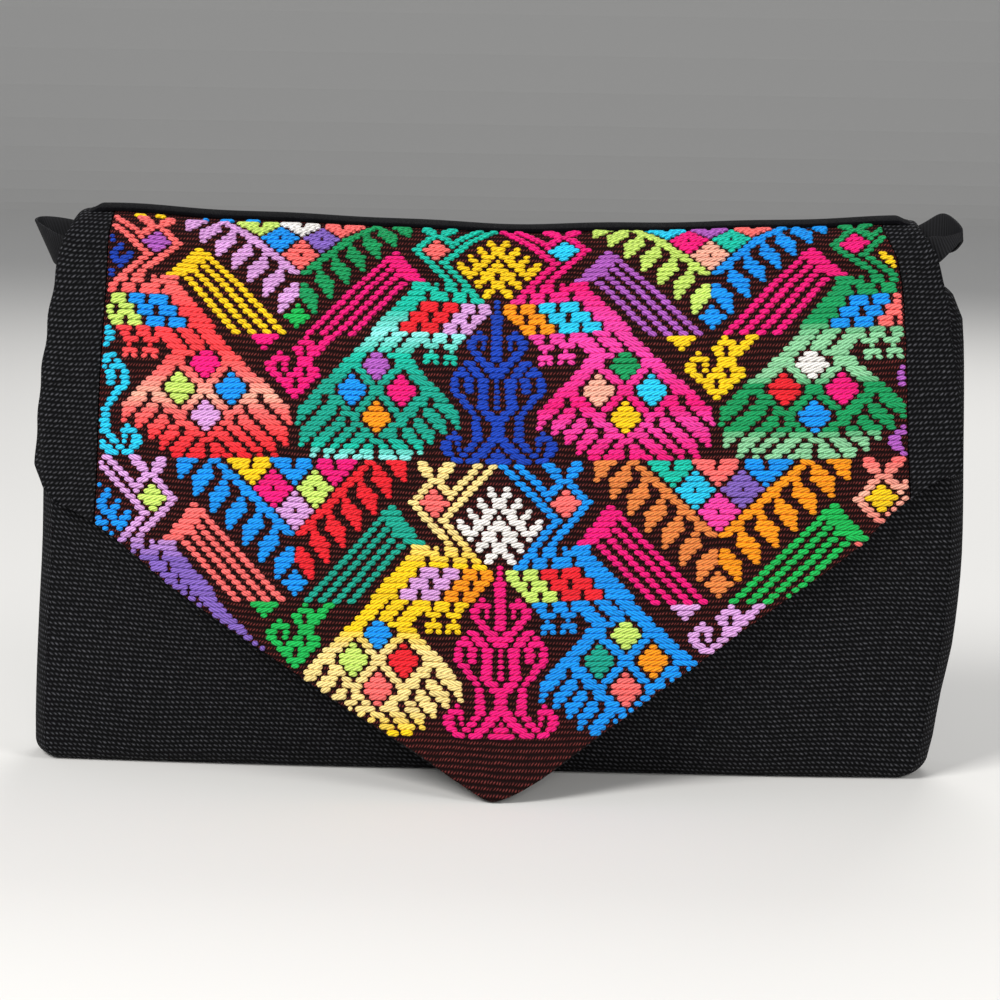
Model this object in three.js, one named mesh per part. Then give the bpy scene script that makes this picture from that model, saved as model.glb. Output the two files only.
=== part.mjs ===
import * as THREE from "three";

// An envelope clutch: a stuffed pouch of black ribbed cloth that stands on its base, closed by a
// long pointed flap. The flap folds over the top from the back and carries a brocade panel between
// two black borders. A velvet band covers the fold, and a ribbon loop is sewn in at each top corner.
// Millimetres, +Z up. The front faces -Y and the origin is on the floor, in the middle of the base.

// Pouch sizes
const WIDTH = 290; // across the bulging sides, where the pouch is widest
const HEIGHT = 173.5; // from the floor to the top of the velvet band at its two ends
const FRONT_DEPTH = 30; // from the middle plane to the crown of the front panel
const BACK_DEPTH = 19; // from the middle plane to the crown of the back panel
const CREASE_DEPTH = 15; // from the middle plane to the creases beside a side panel
const SIDE_BULGE = 5.5; // how far a side panel swells out past its two creases
const HEM_RADIUS = 5; // rounding where the walls turn under to meet the base
const MOUTH_DROP = 23.5; // from the top down to the front panel's top edge, under the flap
const SIDE_RISE = 3; // how much higher the side panels' top edge is
const MOUTH_HEIGHT = HEIGHT - MOUTH_DROP;
const SIDE_HEIGHT = MOUTH_HEIGHT + SIDE_RISE;

// Cloth walls, and the gap kept between two pieces that are sewn together
const POUCH_CLOTH = 1.8;
const LINING_CLOTH = 1.2;
const FACE_CLOTH = 1.4; // the brocade panel and the borders beside it
const BAND_CLOTH = 1.2;
const SEAM_GAP = 0.3;

// Flap sizes
const FOLD_RADIUS = 9; // inside the fold
const FOLD_SAG = 4; // how much lower the fold lies in the middle than at its ends
const FLAP_REACH = 40; // how far the tip stands forward of the fold
const BROCADE_START = 12; // degrees forward of the fold's crest where the brocade begins
const BAND_FRONT = 31; // and where the velvet band ends
const BAND_BACK = 72; // degrees behind the crest where the band begins
const BAND_END = 1.8; // a band's end lies this far across a border, from 1 at its seam to 2
const TURNED_WIDTH = 9; // greatest width of a border that turns back round the side
const TURN_ANGLE = 55; // degrees that it turns back
const BEND_LENGTH = 3; // length of cloth that the turn takes

// Ribbon loops and the magnet under the flap
const RIBBON_WIDTH = 11;
const RIBBON_CLOTH = 1.2;
const LOOP_RADIUS = 4.8; // to the middle of the ribbon
const LEFT_LOOP = 16; // from its seam to its far end
const RIGHT_LOOP = 11.5;
const LOOP_TAIL = 7; // ribbon caught in the seam
const LOOP_BACK = 0.6; // from the middle plane back to the loops' seams
const LOOP_INSET = 4; // from a side panel's crease in to the right loop's seam
const LOOP_DROP = 1; // from the fold's inner face down to the right ribbon's upper edge
const MAGNET_RADIUS = 7;
const MAGNET_HEIGHT = 58; // from the floor to the middle of the magnet

// The pouch at several heights. height is a share of HEIGHT. left and right are the widest reach to
// each side, as shares of half the WIDTH. crease and rearCrease are shares of CREASE_DEPTH, from
// the middle plane. front and back are how much of the panels' crown has risen past the creases.
const POUCH_ROWS = [
  { height: 0.0, left: 1.0, right: 0.936, crease: 0.93, rearCrease: 0.9, front: 0.16, back: 0.15 },
  { height: 0.05, left: 1.0, right: 0.95, crease: 0.97, rearCrease: 0.95, front: 0.38, back: 0.35 },
  { height: 0.14, left: 0.997, right: 0.965, crease: 1.0, rearCrease: 1.0, front: 0.67, back: 0.65 },
  { height: 0.26, left: 0.99, right: 0.99, crease: 1.0, rearCrease: 1.0, front: 0.9, back: 0.9 },
  { height: 0.41, left: 0.98, right: 1.0, crease: 1.0, rearCrease: 1.0, front: 1.0, back: 1.0 },
  { height: 0.6, left: 0.975, right: 0.994, crease: 0.9, rearCrease: 0.93, front: 0.86, back: 0.9 },
  { height: 0.75, left: 0.965, right: 0.988, crease: 0.7, rearCrease: 0.78, front: 0.5, back: 0.55 },
  { height: 0.835, left: 0.955, right: 0.98, crease: 0.53, rearCrease: 0.7, front: 0.2, back: 0.25 },
  { height: 0.88, left: 0.945, right: 0.955, crease: 0.45, rearCrease: 0.68, front: 0.08, back: 0.08 },
  { height: 1.0, left: 0.945, right: 0.953, crease: 0.45, rearCrease: 0.68, front: 0.0, back: 0.0 },
];

// The flap at several drops. drop is a share of the way from the fold down to the floor, and is
// below 0 on the fold itself. left and right are the borders' creases, and seamLeft and seamRight
// the brocade's edges, as shares of half the WIDTH. turnLeft and turnRight are how much of each
// edge turns back round the side, as shares of TURNED_WIDTH.
const FLAP_ROWS = [
  { drop: -0.06, left: 0.87, right: 0.86, seamLeft: 0.817, seamRight: 0.8, turnLeft: 0.45, turnRight: 0.22 },
  { drop: 0.0, left: 0.89, right: 0.892, seamLeft: 0.823, seamRight: 0.832, turnLeft: 0.45, turnRight: 0.22 },
  { drop: 0.08, left: 0.903, right: 0.915, seamLeft: 0.824, seamRight: 0.844, turnLeft: 0.45, turnRight: 0.22 },
  { drop: 0.17, left: 0.914, right: 0.93, seamLeft: 0.826, seamRight: 0.848, turnLeft: 0.42, turnRight: 0.22 },
  { drop: 0.33, left: 0.928, right: 0.95, seamLeft: 0.828, seamRight: 0.853, turnLeft: 0.55, turnRight: 0.22 },
  { drop: 0.43, left: 0.924, right: 0.952, seamLeft: 0.832, seamRight: 0.862, turnLeft: 1.0, turnRight: 0.22 },
  { drop: 0.55, left: 0.922, right: 0.952, seamLeft: 0.838, seamRight: 0.874, turnLeft: 1.0, turnRight: 0.22 },
  { drop: 1.0, left: 0.922, right: 0.952, seamLeft: 0.838, seamRight: 0.874, turnLeft: 1.0, turnRight: 0.22 },
];

// How far the flap stands forward of its fold, as shares of FLAP_REACH, in the middle and at its
// two edges
const REACH_ROWS = [
  { drop: 0.0, middle: 0.0, edge: 0.0 },
  { drop: 0.08, middle: 0.105, edge: 0.035 },
  { drop: 0.17, middle: 0.28, edge: 0.085 },
  { drop: 0.33, middle: 0.49, edge: 0.17 },
  { drop: 0.55, middle: 0.605, edge: 0.23 },
  { drop: 0.71, middle: 0.67, edge: 0.27 },
  { drop: 0.85, middle: 0.785, edge: 0.36 },
  { drop: 1.0, middle: 1.0, edge: 0.6 },
];

// The flap's lower edge. across runs from the left crease, -1, to the right one, 1, and on over the
// turned edges to -2 and 2. height is a share of HEIGHT.
const FLAP_EDGE = [
  { across: -2.0, height: 0.54 },
  { across: -1.0, height: 0.476 },
  { across: -0.91, height: 0.447 },
  { across: -0.71, height: 0.335 },
  { across: -0.45, height: 0.2085 },
  { across: -0.27, height: 0.1215 },
  { across: -0.14, height: 0.065 },
  { across: -0.06, height: 0.028 },
  { across: 0.016, height: 0.003 },
  { across: 0.05, height: 0.0105 },
  { across: 0.1, height: 0.0294 },
  { across: 0.19, height: 0.078 },
  { across: 0.41, height: 0.208 },
  { across: 0.6, height: 0.322 },
  { across: 0.8, height: 0.4386 },
  { across: 0.885, height: 0.505 },
  { across: 1.0, height: 0.555 },
  { across: 2.0, height: 0.56 },
];

const CROWN_POWER = 3; // how flat a crowned panel stays before it falls away to its edges
const radians = THREE.MathUtils.degToRad;

// Each layer of the flap, measured from the lining's inner face, and the top of the space inside
// the fold at its two ends
const faceInside = LINING_CLOTH + SEAM_GAP;
const faceOutside = faceInside + FACE_CLOTH;
const bandInside = faceOutside + SEAM_GAP;
const FOLD_TOP = HEIGHT - bandInside - BAND_CLOTH;

// A smooth curve through one column of a table that never overshoots its rows
function curveThrough(rows, along, column) {
  const x = rows.map((row) => row[along]);
  const y = rows.map((row) => row[column]);
  const last = x.length - 1;
  const rise = x.slice(1).map((next, i) => (y[i + 1] - y[i]) / (next - x[i]));
  const slope = x.map((_, i) => {
    if (i === 0 || i === last) return column === "height" ? rise[Math.min(i, last - 1)] : 0;
    const before = rise[i - 1];
    const after = rise[i];
    return before * after > 0 ? (2 * before * after) / (before + after) : 0;
  });
  return (at) => {
    const here = THREE.MathUtils.clamp(at, x[0], x[last]);
    const i = Math.min(last - 1, Math.max(0, x.findIndex((next) => next > here) - 1));
    const start = here >= x[last] ? last - 1 : i;
    const span = x[start + 1] - x[start];
    const t = (here - x[start]) / span;
    const stay = 2 * t ** 3 - 3 * t ** 2 + 1;
    const leave = t ** 3 - 2 * t ** 2 + t;
    const arrive = t ** 3 - t ** 2;
    const tangents = leave * slope[start] + arrive * slope[start + 1];
    return stay * y[start] + (1 - stay) * y[start + 1] + span * tangents;
  };
}

const columnsOf = (rows, along) =>
  Object.fromEntries(Object.keys(rows[0]).map((name) => [name, curveThrough(rows, along, name)]));
const pouch = columnsOf(POUCH_ROWS, "height");
const flap = columnsOf(FLAP_ROWS, "drop");
const flapReach = columnsOf(REACH_ROWS, "drop");
const flapEdge = columnsOf(FLAP_EDGE, "across");

const spread = (from, to, count) =>
  Array.from({ length: count + 1 }, (_, i) => from + ((to - from) * i) / count);
const crown = (across) => 1 - Math.min(1, Math.abs(across)) ** CROWN_POWER;

// A closed sheet of cloth between two skins, each a function of a column and a row
function sheet(outer, inner, columns, rows) {
  const positions = [];
  for (const skin of [outer, inner])
    for (const row of rows) for (const column of columns) positions.push(...skin(column, row).toArray());
  const wide = columns.length;
  const skinSize = wide * rows.length;
  const at = (skin, column, row) => skin * skinSize + row * wide + column;
  const faces = [];
  const quad = (a, b, c, d) => faces.push(a, b, c, a, c, d);
  for (let row = 0; row < rows.length - 1; row += 1)
    for (let column = 0; column < wide - 1; column += 1) {
      quad(at(0, column, row), at(0, column + 1, row), at(0, column + 1, row + 1), at(0, column, row + 1));
      quad(at(1, column, row), at(1, column, row + 1), at(1, column + 1, row + 1), at(1, column + 1, row));
    }
  const rim = [];
  for (let column = 0; column < wide; column += 1) rim.push([column, 0]);
  for (let row = 1; row < rows.length; row += 1) rim.push([wide - 1, row]);
  for (let column = wide - 2; column >= 0; column -= 1) rim.push([column, rows.length - 1]);
  for (let row = rows.length - 2; row > 0; row -= 1) rim.push([0, row]);
  rim.forEach(([column, row], i) => {
    const [nextColumn, nextRow] = rim[(i + 1) % rim.length];
    quad(at(0, nextColumn, nextRow), at(0, column, row), at(1, column, row), at(1, nextColumn, nextRow));
  });
  const geometry = new THREE.BufferGeometry();
  geometry.setAttribute("position", new THREE.BufferAttribute(new Float32Array(positions), 3));
  geometry.setIndex(signedVolume(positions, faces) < 0 ? faces.reverse() : faces);
  geometry.computeVertexNormals();
  return geometry;
}

function signedVolume(positions, faces) {
  const corner = (i) => new THREE.Vector3().fromArray(positions, 3 * faces[i]);
  let volume = 0;
  for (let i = 0; i < faces.length; i += 3) volume += corner(i).dot(corner(i + 1).cross(corner(i + 2)));
  return volume;
}

// The pouch. rise runs 0 to 1 through the rounded hem, 1 to 2 up to the mouth, 2 to 3 on to the top
// of the side panels and 3 to 4 on to the top edge of the back panel. A skin is the outer face when
// wall is 0, and the inner face when it is the cloth's thickness.
function pouchHeight(rise, wall, top) {
  if (rise < 1) return wall + (HEM_RADIUS - wall) * (1 - Math.cos((rise * Math.PI) / 2));
  const levels = [HEM_RADIUS, MOUTH_HEIGHT, SIDE_HEIGHT, top];
  const level = Math.min(2, Math.floor(rise) - 1);
  return levels[level] + (rise - 1 - level) * (levels[level + 1] - levels[level]);
}

function pouchSection(rise, wall, top = SIDE_HEIGHT) {
  const z = pouchHeight(rise, wall, top);
  const radius = HEM_RADIUS - wall;
  const hem = rise < 1 ? radius * (1 - Math.sin((rise * Math.PI) / 2)) : 0;
  const share = z / HEIGHT;
  const inset = wall / 2 + hem; // the panels' corners are mitred, so a crease moves in by half a wall
  const crease = CREASE_DEPTH * pouch.crease(share) - wall - hem;
  const foldBack = FOLD_RADIUS + LINING_CLOTH;
  const rearShare = POUCH_ROWS[POUCH_ROWS.length - 1].rearCrease;
  const rearSwell = (pouch.rearCrease(share) - rearShare) / (1 - rearShare);
  const rearCrease = foldBack + (CREASE_DEPTH - foldBack) * rearSwell - wall - hem;
  return {
    z,
    left: (WIDTH / 2) * pouch.left(share) - SIDE_BULGE - inset,
    right: (WIDTH / 2) * pouch.right(share) - SIDE_BULGE - inset,
    crease,
    rearCrease,
    front: (FRONT_DEPTH - CREASE_DEPTH) * pouch.front(share),
    back: (BACK_DEPTH - CREASE_DEPTH) * pouch.back(share),
    bulge: SIDE_BULGE - wall / 2,
  };
}

const panelRows = [...spread(0, 1, 4), ...spread(1, 2, 12).slice(1)];

function frontPanel() {
  const skin = (wall) => (across, rise) => {
    const at = pouchSection(rise, wall);
    const x = across * ((across < 0 ? at.left : at.right) - SEAM_GAP / 2);
    return new THREE.Vector3(x, -(at.crease + at.front * crown(across)), at.z);
  };
  return sheet(skin(0), skin(POUCH_CLOTH), spread(-1, 1, 24), panelRows);
}

// The top edge of the back panel follows the sagging fold
function backPanel() {
  const skin = (wall) => (across, rise) => {
    const at = pouchSection(rise, wall, foldStart(across) - SEAM_GAP);
    const x = across * ((across < 0 ? at.left : at.right) - SEAM_GAP / 2);
    return new THREE.Vector3(x, at.rearCrease + at.back * crown(across), at.z);
  };
  return sheet(skin(0), skin(POUCH_CLOTH), spread(-1, 1, 20), [...panelRows, 3, 3.5, 4]);
}

function sidePanel(side) {
  const skin = (wall) => (around, rise) => {
    const at = pouchSection(rise, wall);
    const half = (at.crease + at.rearCrease) / 2;
    const reach = (side < 0 ? at.left : at.right) + at.bulge * (1 - around ** 2);
    const middle = (at.rearCrease - at.crease) / 2;
    return new THREE.Vector3(side * reach, middle + around * (half - SEAM_GAP), at.z);
  };
  return sheet(skin(0), skin(POUCH_CLOTH), spread(-1, 1, 6), [...panelRows, 3]);
}

// The base fills the ring that the four hems leave open
function basePanel() {
  const at = pouchSection(0, 0);
  const outline = new THREE.Shape();
  const left = at.left - SEAM_GAP;
  const right = at.right - SEAM_GAP;
  const front = at.crease - SEAM_GAP;
  const back = at.rearCrease - SEAM_GAP;
  const reachTo = (across) => across * (across < 0 ? left : right);
  const half = (front + back) / 2;
  spread(-1, 1, 24).forEach((u, i) =>
    outline[i ? "lineTo" : "moveTo"](reachTo(u), -(front + at.front * crown(u))),
  );
  spread(-1, 1, 6)
    .slice(1, -1)
    .forEach((u) => outline.lineTo(right + at.bulge * (1 - u ** 2), (back - front) / 2 + u * half));
  spread(1, -1, 20).forEach((u) => outline.lineTo(reachTo(u), back + at.back * crown(u)));
  spread(1, -1, 6)
    .slice(1, -1)
    .forEach((u) => outline.lineTo(-left - at.bulge * (1 - u ** 2), (back - front) / 2 + u * half));
  return new THREE.ExtrudeGeometry(outline, { depth: POUCH_CLOTH, bevelEnabled: false });
}

// The flap's inner face. across is -1 to 1 between the creases and goes on to -2 or 2 over the
// turned edge. down is -1 where the fold meets the back panel, 0 where it has turned to face
// forward, and 1 on the flap's lower edge.
function foldStart(across) {
  const a = THREE.MathUtils.clamp(across, -1, 1);
  return FOLD_TOP - FOLD_RADIUS - FOLD_SAG * (1 - a ** 2) ** 2;
}

function flapInside(across, down) {
  const side = Math.sign(across);
  const a = THREE.MathUtils.clamp(across, -1, 1);
  const tangent = foldStart(a);
  const lowest = HEIGHT * flapEdge.height(across);
  const angle = (Math.min(0, down) + 0.5) * Math.PI;
  const z = tangent - Math.max(0, down) * (tangent - lowest) + FOLD_RADIUS * Math.cos(angle);
  const drop = 1 - z / tangent;
  const reach = (WIDTH / 2) * (side < 0 ? flap.left(drop) : flap.right(drop));
  const middle = flapReach.middle(drop);
  const forward = flapReach.edge(drop) + (middle - flapReach.edge(drop)) * crown(a);
  const point = new THREE.Vector3(
    a * reach,
    -FOLD_RADIUS * Math.sin(angle) - FLAP_REACH * forward,
    z,
  );
  if (Math.abs(across) <= 1) return point;
  const opening = THREE.MathUtils.smoothstep(down, -0.75, 0.05);
  const turnWidth = TURNED_WIDTH * (side < 0 ? flap.turnLeft(drop) : flap.turnRight(drop));
  const turn = turnWidth * opening * (Math.abs(across) - 1);
  const bend = Math.min(turn, BEND_LENGTH);
  const straight = turn - bend;
  const radius = BEND_LENGTH / radians(TURN_ANGLE);
  const turned = bend / radius;
  const out = radius * Math.sin(turned) + straight * Math.cos(turned);
  const inward = radius * (1 - Math.cos(turned)) + straight * Math.sin(turned);
  return point.add(new THREE.Vector3(side * out, inward * Math.sin(angle), -inward * Math.cos(angle)));
}

// A layer of the flap, lifted off its inner face along the face's own normal
function flapSkin(lift) {
  const step = 1e-3;
  return (across, down) => {
    const alongWidth = flapInside(across + step, down).sub(flapInside(across - step, down));
    const alongDrop = flapInside(across, down + step).sub(flapInside(across, down - step));
    const normal = alongDrop.cross(alongWidth).normalize();
    return flapInside(across, down).addScaledVector(normal, lift);
  };
}

// Every flap layer has its vertices on the same lines, so that the layers lie evenly on each other.
// share is -1 to 1 over the brocade, goes on to 2 over a border and to 3 over its turned edge. aside
// moves a point outwards, away from the middle.
function onFlap(lift, aside = 0) {
  const skin = flapSkin(lift);
  return (share, down) => {
    const side = share < 0 ? -1 : 1;
    const outwards = Math.abs(share);
    const tangent = foldStart(side);
    const lowest = HEIGHT * flapEdge.height(side * 0.9);
    const onFold = (FOLD_RADIUS / tangent) * Math.cos((Math.min(0, down) + 0.5) * Math.PI);
    const drop = (Math.max(0, down) * (tangent - lowest)) / tangent - onFold;
    const seam = side < 0 ? flap.seamLeft(drop) / flap.left(drop) : flap.seamRight(drop) / flap.right(drop);
    let across = outwards * seam;
    if (outwards > 1) across = seam + (outwards - 1) * (1 - seam);
    if (outwards > 2) across = outwards - 1;
    return skin(side * across + (side * aside * 2) / WIDTH, down);
  };
}

// Rows run from an angle past the fold's crest down to the lower edge
const foldRow = (degrees) => degrees / 180 - 0.5;
const FOLD_ROWS = [-90, -72, -54, -36, -18, 0, 12, 31, 50, 70].map(foldRow);
const DROP_ROWS = spread(0, 1, 13);
const rowsFrom = (degrees) => [...FOLD_ROWS, ...DROP_ROWS].filter((row) => row > foldRow(degrees) - 1e-6);
const TIP_COLUMNS = [-0.1, -0.04, 0, 0.04, 0.1];
const PANEL_COLUMNS = [...spread(-1, -0.2, 8), ...TIP_COLUMNS, ...spread(0.2, 1, 8)];
const BORDER_COLUMNS = [1, 1.5, 1.96, 2.33, 2.67, 3];

function flapLining() {
  const right = BORDER_COLUMNS.slice(1);
  const left = right.map((share) => -share).reverse();
  return sheet(onFlap(LINING_CLOTH), onFlap(0), [...left, ...PANEL_COLUMNS, ...right], rowsFrom(-90));
}

function brocadePanel() {
  const gap = -SEAM_GAP / 2;
  return sheet(onFlap(faceOutside, gap), onFlap(faceInside, gap), PANEL_COLUMNS, rowsFrom(BROCADE_START));
}

function sideBorder(side) {
  const gap = SEAM_GAP / 2;
  const columns = BORDER_COLUMNS.map((share) => side * share);
  return sheet(onFlap(faceOutside, gap), onFlap(faceInside, gap), columns, rowsFrom(-BAND_BACK / 2));
}

function velvetBand() {
  const rows = rowsFrom(-BAND_BACK).filter((row) => row < foldRow(BAND_FRONT) + 1e-6);
  const columns = [-BAND_END, -1.5, ...PANEL_COLUMNS, 1.5, BAND_END];
  return sheet(onFlap(bandInside + BAND_CLOTH), onFlap(bandInside), columns, rows);
}

// A ribbon folded into a loop: out from its seam, round, and back beside itself. inward is the way
// that its tail runs from the seam and outward the way that the loop points. width is the way
// across the ribbon at the seam, and farWidth the way across it at the loop's far end, which lies
// reach away.
function ribbonLoop({ seam, inward, outward, width, farWidth, reach }) {
  const ply = (RIBBON_CLOTH + SEAM_GAP) / 2;
  const middle = reach - LOOP_RADIUS;
  const half = Math.SQRT1_2 * LOOP_RADIUS;
  const route = [
    [-LOOP_TAIL, ply],
    [-LOOP_TAIL / 2, ply],
    [0, ply],
    [0.45 * middle, 0.6 * LOOP_RADIUS],
    [middle, LOOP_RADIUS],
    [middle + half, half],
    [middle + LOOP_RADIUS, 0],
    [middle + half, -half],
    [middle, -LOOP_RADIUS],
    [0.45 * middle, -0.6 * LOOP_RADIUS],
    [0, -ply],
    [-LOOP_TAIL / 2, -ply],
    [-LOOP_TAIL, -ply],
  ];
  const curve = new THREE.CatmullRomCurve3(
    route.map(([out, aside]) => new THREE.Vector3(out, aside, 0)),
    false,
    "centripetal",
  );
  const wideAt = (out) =>
    width
      .clone()
      .lerp(farWidth, THREE.MathUtils.clamp(out / middle, 0, 1))
      .normalize();
  const placed = ({ x: out, y: aside }) => {
    const ahead = out < 0 ? inward.clone().negate() : outward.clone();
    const across = wideAt(out).cross(ahead).normalize();
    return seam.clone().addScaledVector(ahead, out).addScaledVector(across, aside);
  };
  const centre = (along) => placed(curve.getPoint(THREE.MathUtils.clamp(along, 0, 1)));
  const skin = (side) => (along, wide) => {
    const leaning = wideAt(curve.getPoint(along).x);
    const ahead = centre(along + 1e-3).sub(centre(along - 1e-3));
    const normal = ahead.cross(leaning).normalize();
    return centre(along)
      .addScaledVector(leaning, (wide * RIBBON_WIDTH) / 2)
      .addScaledVector(normal, (side * RIBBON_CLOTH) / 2);
  };
  return sheet(skin(1), skin(-1), spread(0, 1, 30), spread(-1, 1, 2));
}

// The left ribbon lies flat on the side panel's top edge and its loop points up and out. The right
// ribbon stands on its edge inside the fold, and its loop leans forward.
function leftLoop() {
  const at = pouchSection(3, 0);
  return ribbonLoop({
    seam: new THREE.Vector3(-at.left, LOOP_BACK, SIDE_HEIGHT + 1.5 * SEAM_GAP + RIBBON_CLOTH),
    inward: new THREE.Vector3(1, 0, 0),
    outward: new THREE.Vector3(-0.64, 0.2, 0.74).normalize(),
    width: new THREE.Vector3(0, -1, 0),
    farWidth: new THREE.Vector3(0.1, -0.9, -0.35).normalize(),
    reach: LEFT_LOOP,
  });
}

function rightLoop() {
  const at = pouchSection(3, 0);
  return ribbonLoop({
    seam: new THREE.Vector3(at.right - LOOP_INSET, LOOP_BACK, FOLD_TOP - LOOP_DROP - RIBBON_WIDTH / 2),
    inward: new THREE.Vector3(-1, 0, 0),
    outward: new THREE.Vector3(0.93, 0, 0.3).normalize(),
    width: new THREE.Vector3(0, 0, 1),
    farWidth: new THREE.Vector3(0.3, -0.4, 0.87).normalize(),
    reach: RIGHT_LOOP,
  });
}

// The magnet is a disc between the front panel and the flap's lining
function magnet() {
  const rise = 1 + (MAGNET_HEIGHT - HEM_RADIUS) / (MOUTH_HEIGHT - HEM_RADIUS);
  const panel = pouchSection(rise, 0);
  const tangent = foldStart(0);
  const reach = (z) => FOLD_RADIUS + FLAP_REACH * flapReach.middle(1 - z / tangent);
  const lining = reach(MAGNET_HEIGHT);
  const slant = Math.atan((reach(MAGNET_HEIGHT - 1) - reach(MAGNET_HEIGHT + 1)) / 2);
  const face = panel.crease + panel.front;
  const lost = MAGNET_RADIUS * Math.tan(Math.abs(slant));
  const thickness = lining - face - 3 * SEAM_GAP - lost;
  const disc = new THREE.CylinderGeometry(MAGNET_RADIUS, MAGNET_RADIUS, thickness, 24);
  return { disc, depth: face + SEAM_GAP + lost / 2 + thickness / 2 };
}

const blackCloth = new THREE.MeshStandardMaterial({ color: 0x141416, roughness: 0.95, metalness: 0 });
const brocadeCloth = new THREE.MeshStandardMaterial({ color: 0x7a2438, roughness: 0.85, metalness: 0 });
const velvet = new THREE.MeshStandardMaterial({ color: 0x0d0d0f, roughness: 0.9, metalness: 0 });
const steel = new THREE.MeshStandardMaterial({ color: 0xb8b8b4, roughness: 0.35, metalness: 1 });

function piece(name, geometry, material) {
  const mesh = new THREE.Mesh(geometry, material);
  mesh.name = name;
  return mesh;
}

const clutch = new THREE.Group();
clutch.name = "envelope_clutch";
clutch.add(piece("base_panel", basePanel(), blackCloth));
clutch.add(piece("front_panel", frontPanel(), blackCloth));
clutch.add(piece("back_panel", backPanel(), blackCloth));
clutch.add(piece("side_panel_left", sidePanel(-1), blackCloth));
clutch.add(piece("side_panel_right", sidePanel(1), blackCloth));

const flapPieces = new THREE.Group();
flapPieces.name = "flap";
flapPieces.add(piece("flap_lining", flapLining(), blackCloth));
flapPieces.add(piece("brocade_panel", brocadePanel(), brocadeCloth));
flapPieces.add(piece("border_left", sideBorder(-1), blackCloth));
flapPieces.add(piece("border_right", sideBorder(1), blackCloth));
flapPieces.add(piece("velvet_band", velvetBand(), velvet));
clutch.add(flapPieces);

clutch.add(piece("ribbon_loop_left", leftLoop(), blackCloth));
clutch.add(piece("ribbon_loop_right", rightLoop(), blackCloth));

const { disc, depth } = magnet();
const magnetMesh = piece("magnetic_snap", disc, steel);
magnetMesh.position.set(0, -depth, MAGNET_HEIGHT);
clutch.add(magnetMesh);

export default clutch;
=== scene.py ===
# %% [markdown]
# # An envelope clutch in hand brocade
# The real bag is a small stuffed pouch of black ribbed cotton that stands on its base. A long
# pointed flap folds over the top from the back. Its middle is a brocade: a brown ribbed ground in
# which birds, combs, feathers, trees and diamonds are laid in with plump floats of bright yarn. A
# strip of black velvet binds the fold, and a ribbon loop is sewn in at each top corner.
#
# The order here is the camera, the light, the shape of the cloth, the cloths' finishes, each cloth
# piece, the chart of the brocade, and last the floats of yarn.

import math

import bmesh
import bpy
import numpy as np
from mathutils import Matrix, Vector


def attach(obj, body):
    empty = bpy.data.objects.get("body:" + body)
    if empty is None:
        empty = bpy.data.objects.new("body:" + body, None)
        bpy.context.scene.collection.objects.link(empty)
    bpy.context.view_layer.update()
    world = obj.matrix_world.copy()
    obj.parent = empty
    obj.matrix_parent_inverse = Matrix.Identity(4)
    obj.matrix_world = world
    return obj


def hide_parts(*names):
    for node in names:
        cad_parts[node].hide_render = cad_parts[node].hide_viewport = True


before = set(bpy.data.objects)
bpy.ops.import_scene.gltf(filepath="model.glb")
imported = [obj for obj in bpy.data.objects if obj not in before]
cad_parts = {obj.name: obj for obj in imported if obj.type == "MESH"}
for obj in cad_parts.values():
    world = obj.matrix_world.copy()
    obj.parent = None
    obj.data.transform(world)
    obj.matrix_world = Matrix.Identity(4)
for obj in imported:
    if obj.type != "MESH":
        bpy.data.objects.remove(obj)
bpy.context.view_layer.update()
print("nodes:", ", ".join(sorted(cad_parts)))

# %% [markdown]
# ## Camera
# The photograph was taken from a little to the right of the bag and nine degrees above it. The
# place was found by projecting the solids over the photograph until the outlines met.

# %% Place the camera
AZIMUTH, ELEVATION, ROLL = (math.radians(a) for a in (1.8, 9.0, 0.9))
DISTANCE = 0.85
AIM = Vector((0, 0, 0.086))
FOCAL_SHARE = 2.726  # focal length as a share of the picture's width

backwards = Vector((math.sin(AZIMUTH), -math.cos(AZIMUTH), math.tan(ELEVATION))).normalized()
camera = bpy.data.objects.new("camera", bpy.data.cameras.new("camera"))
camera.data.sensor_width = 36
camera.data.lens = FOCAL_SHARE * camera.data.sensor_width
camera.data.shift_x, camera.data.shift_y = 0.0035, -0.0085  # the bag isn't quite in the middle
camera.location = AIM + DISTANCE * backwards
facing = backwards.to_track_quat("Z", "Y").to_matrix() @ Matrix.Rotation(ROLL, 3, "Z")
camera.rotation_euler = facing.to_euler()
bpy.context.collection.objects.link(camera)
bpy.context.scene.camera = camera
print("camera at", [round(v, 3) for v in camera.location])

# %% [markdown]
# ## Nodes and colours
# Every finish is a small tree of shader nodes. One helper adds a node, sets it and links it. Yarn
# and cloth colours are written as sRGB hex, as a colour picker gives them, and are turned to the
# linear values that shaders work in.

# %% Helpers for materials
def linear(code):
    parts = [int(code[i : i + 2], 16) / 255 for i in (1, 3, 5)]
    return [p / 12.92 if p <= 0.04045 else ((p + 0.055) / 1.055) ** 2.4 for p in parts] + [1]


def add(tree, kind, links=None, **settings):
    """One node. links maps an input's name or number to a value, or to another node's output."""
    node = tree.nodes.new(kind)
    for name, value in settings.items():
        setattr(node, name, value)
    for name, value in (links or {}).items():
        if isinstance(value, bpy.types.NodeSocket):
            tree.links.new(value, node.inputs[name])
        else:
            node.inputs[name].default_value = value
    return node


def new_material(name):
    material = bpy.data.materials.new(name)
    material.use_nodes = True
    tree = material.node_tree
    return material, tree, tree.nodes["Principled BSDF"]


# %% [markdown]
# ## Floor and light
# The bag is shown on a plain pale floor in soft studio light: one large softbox above and to the
# left, a weaker one on the right, and a low strip in front that opens the folds of the black cloth.

# %% Floor that sweeps up into a wall
FLOOR_HALF, SWEEP_RADIUS, WALL_HEIGHT = 3.0, 1.0, 2.0  # metres

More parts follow.
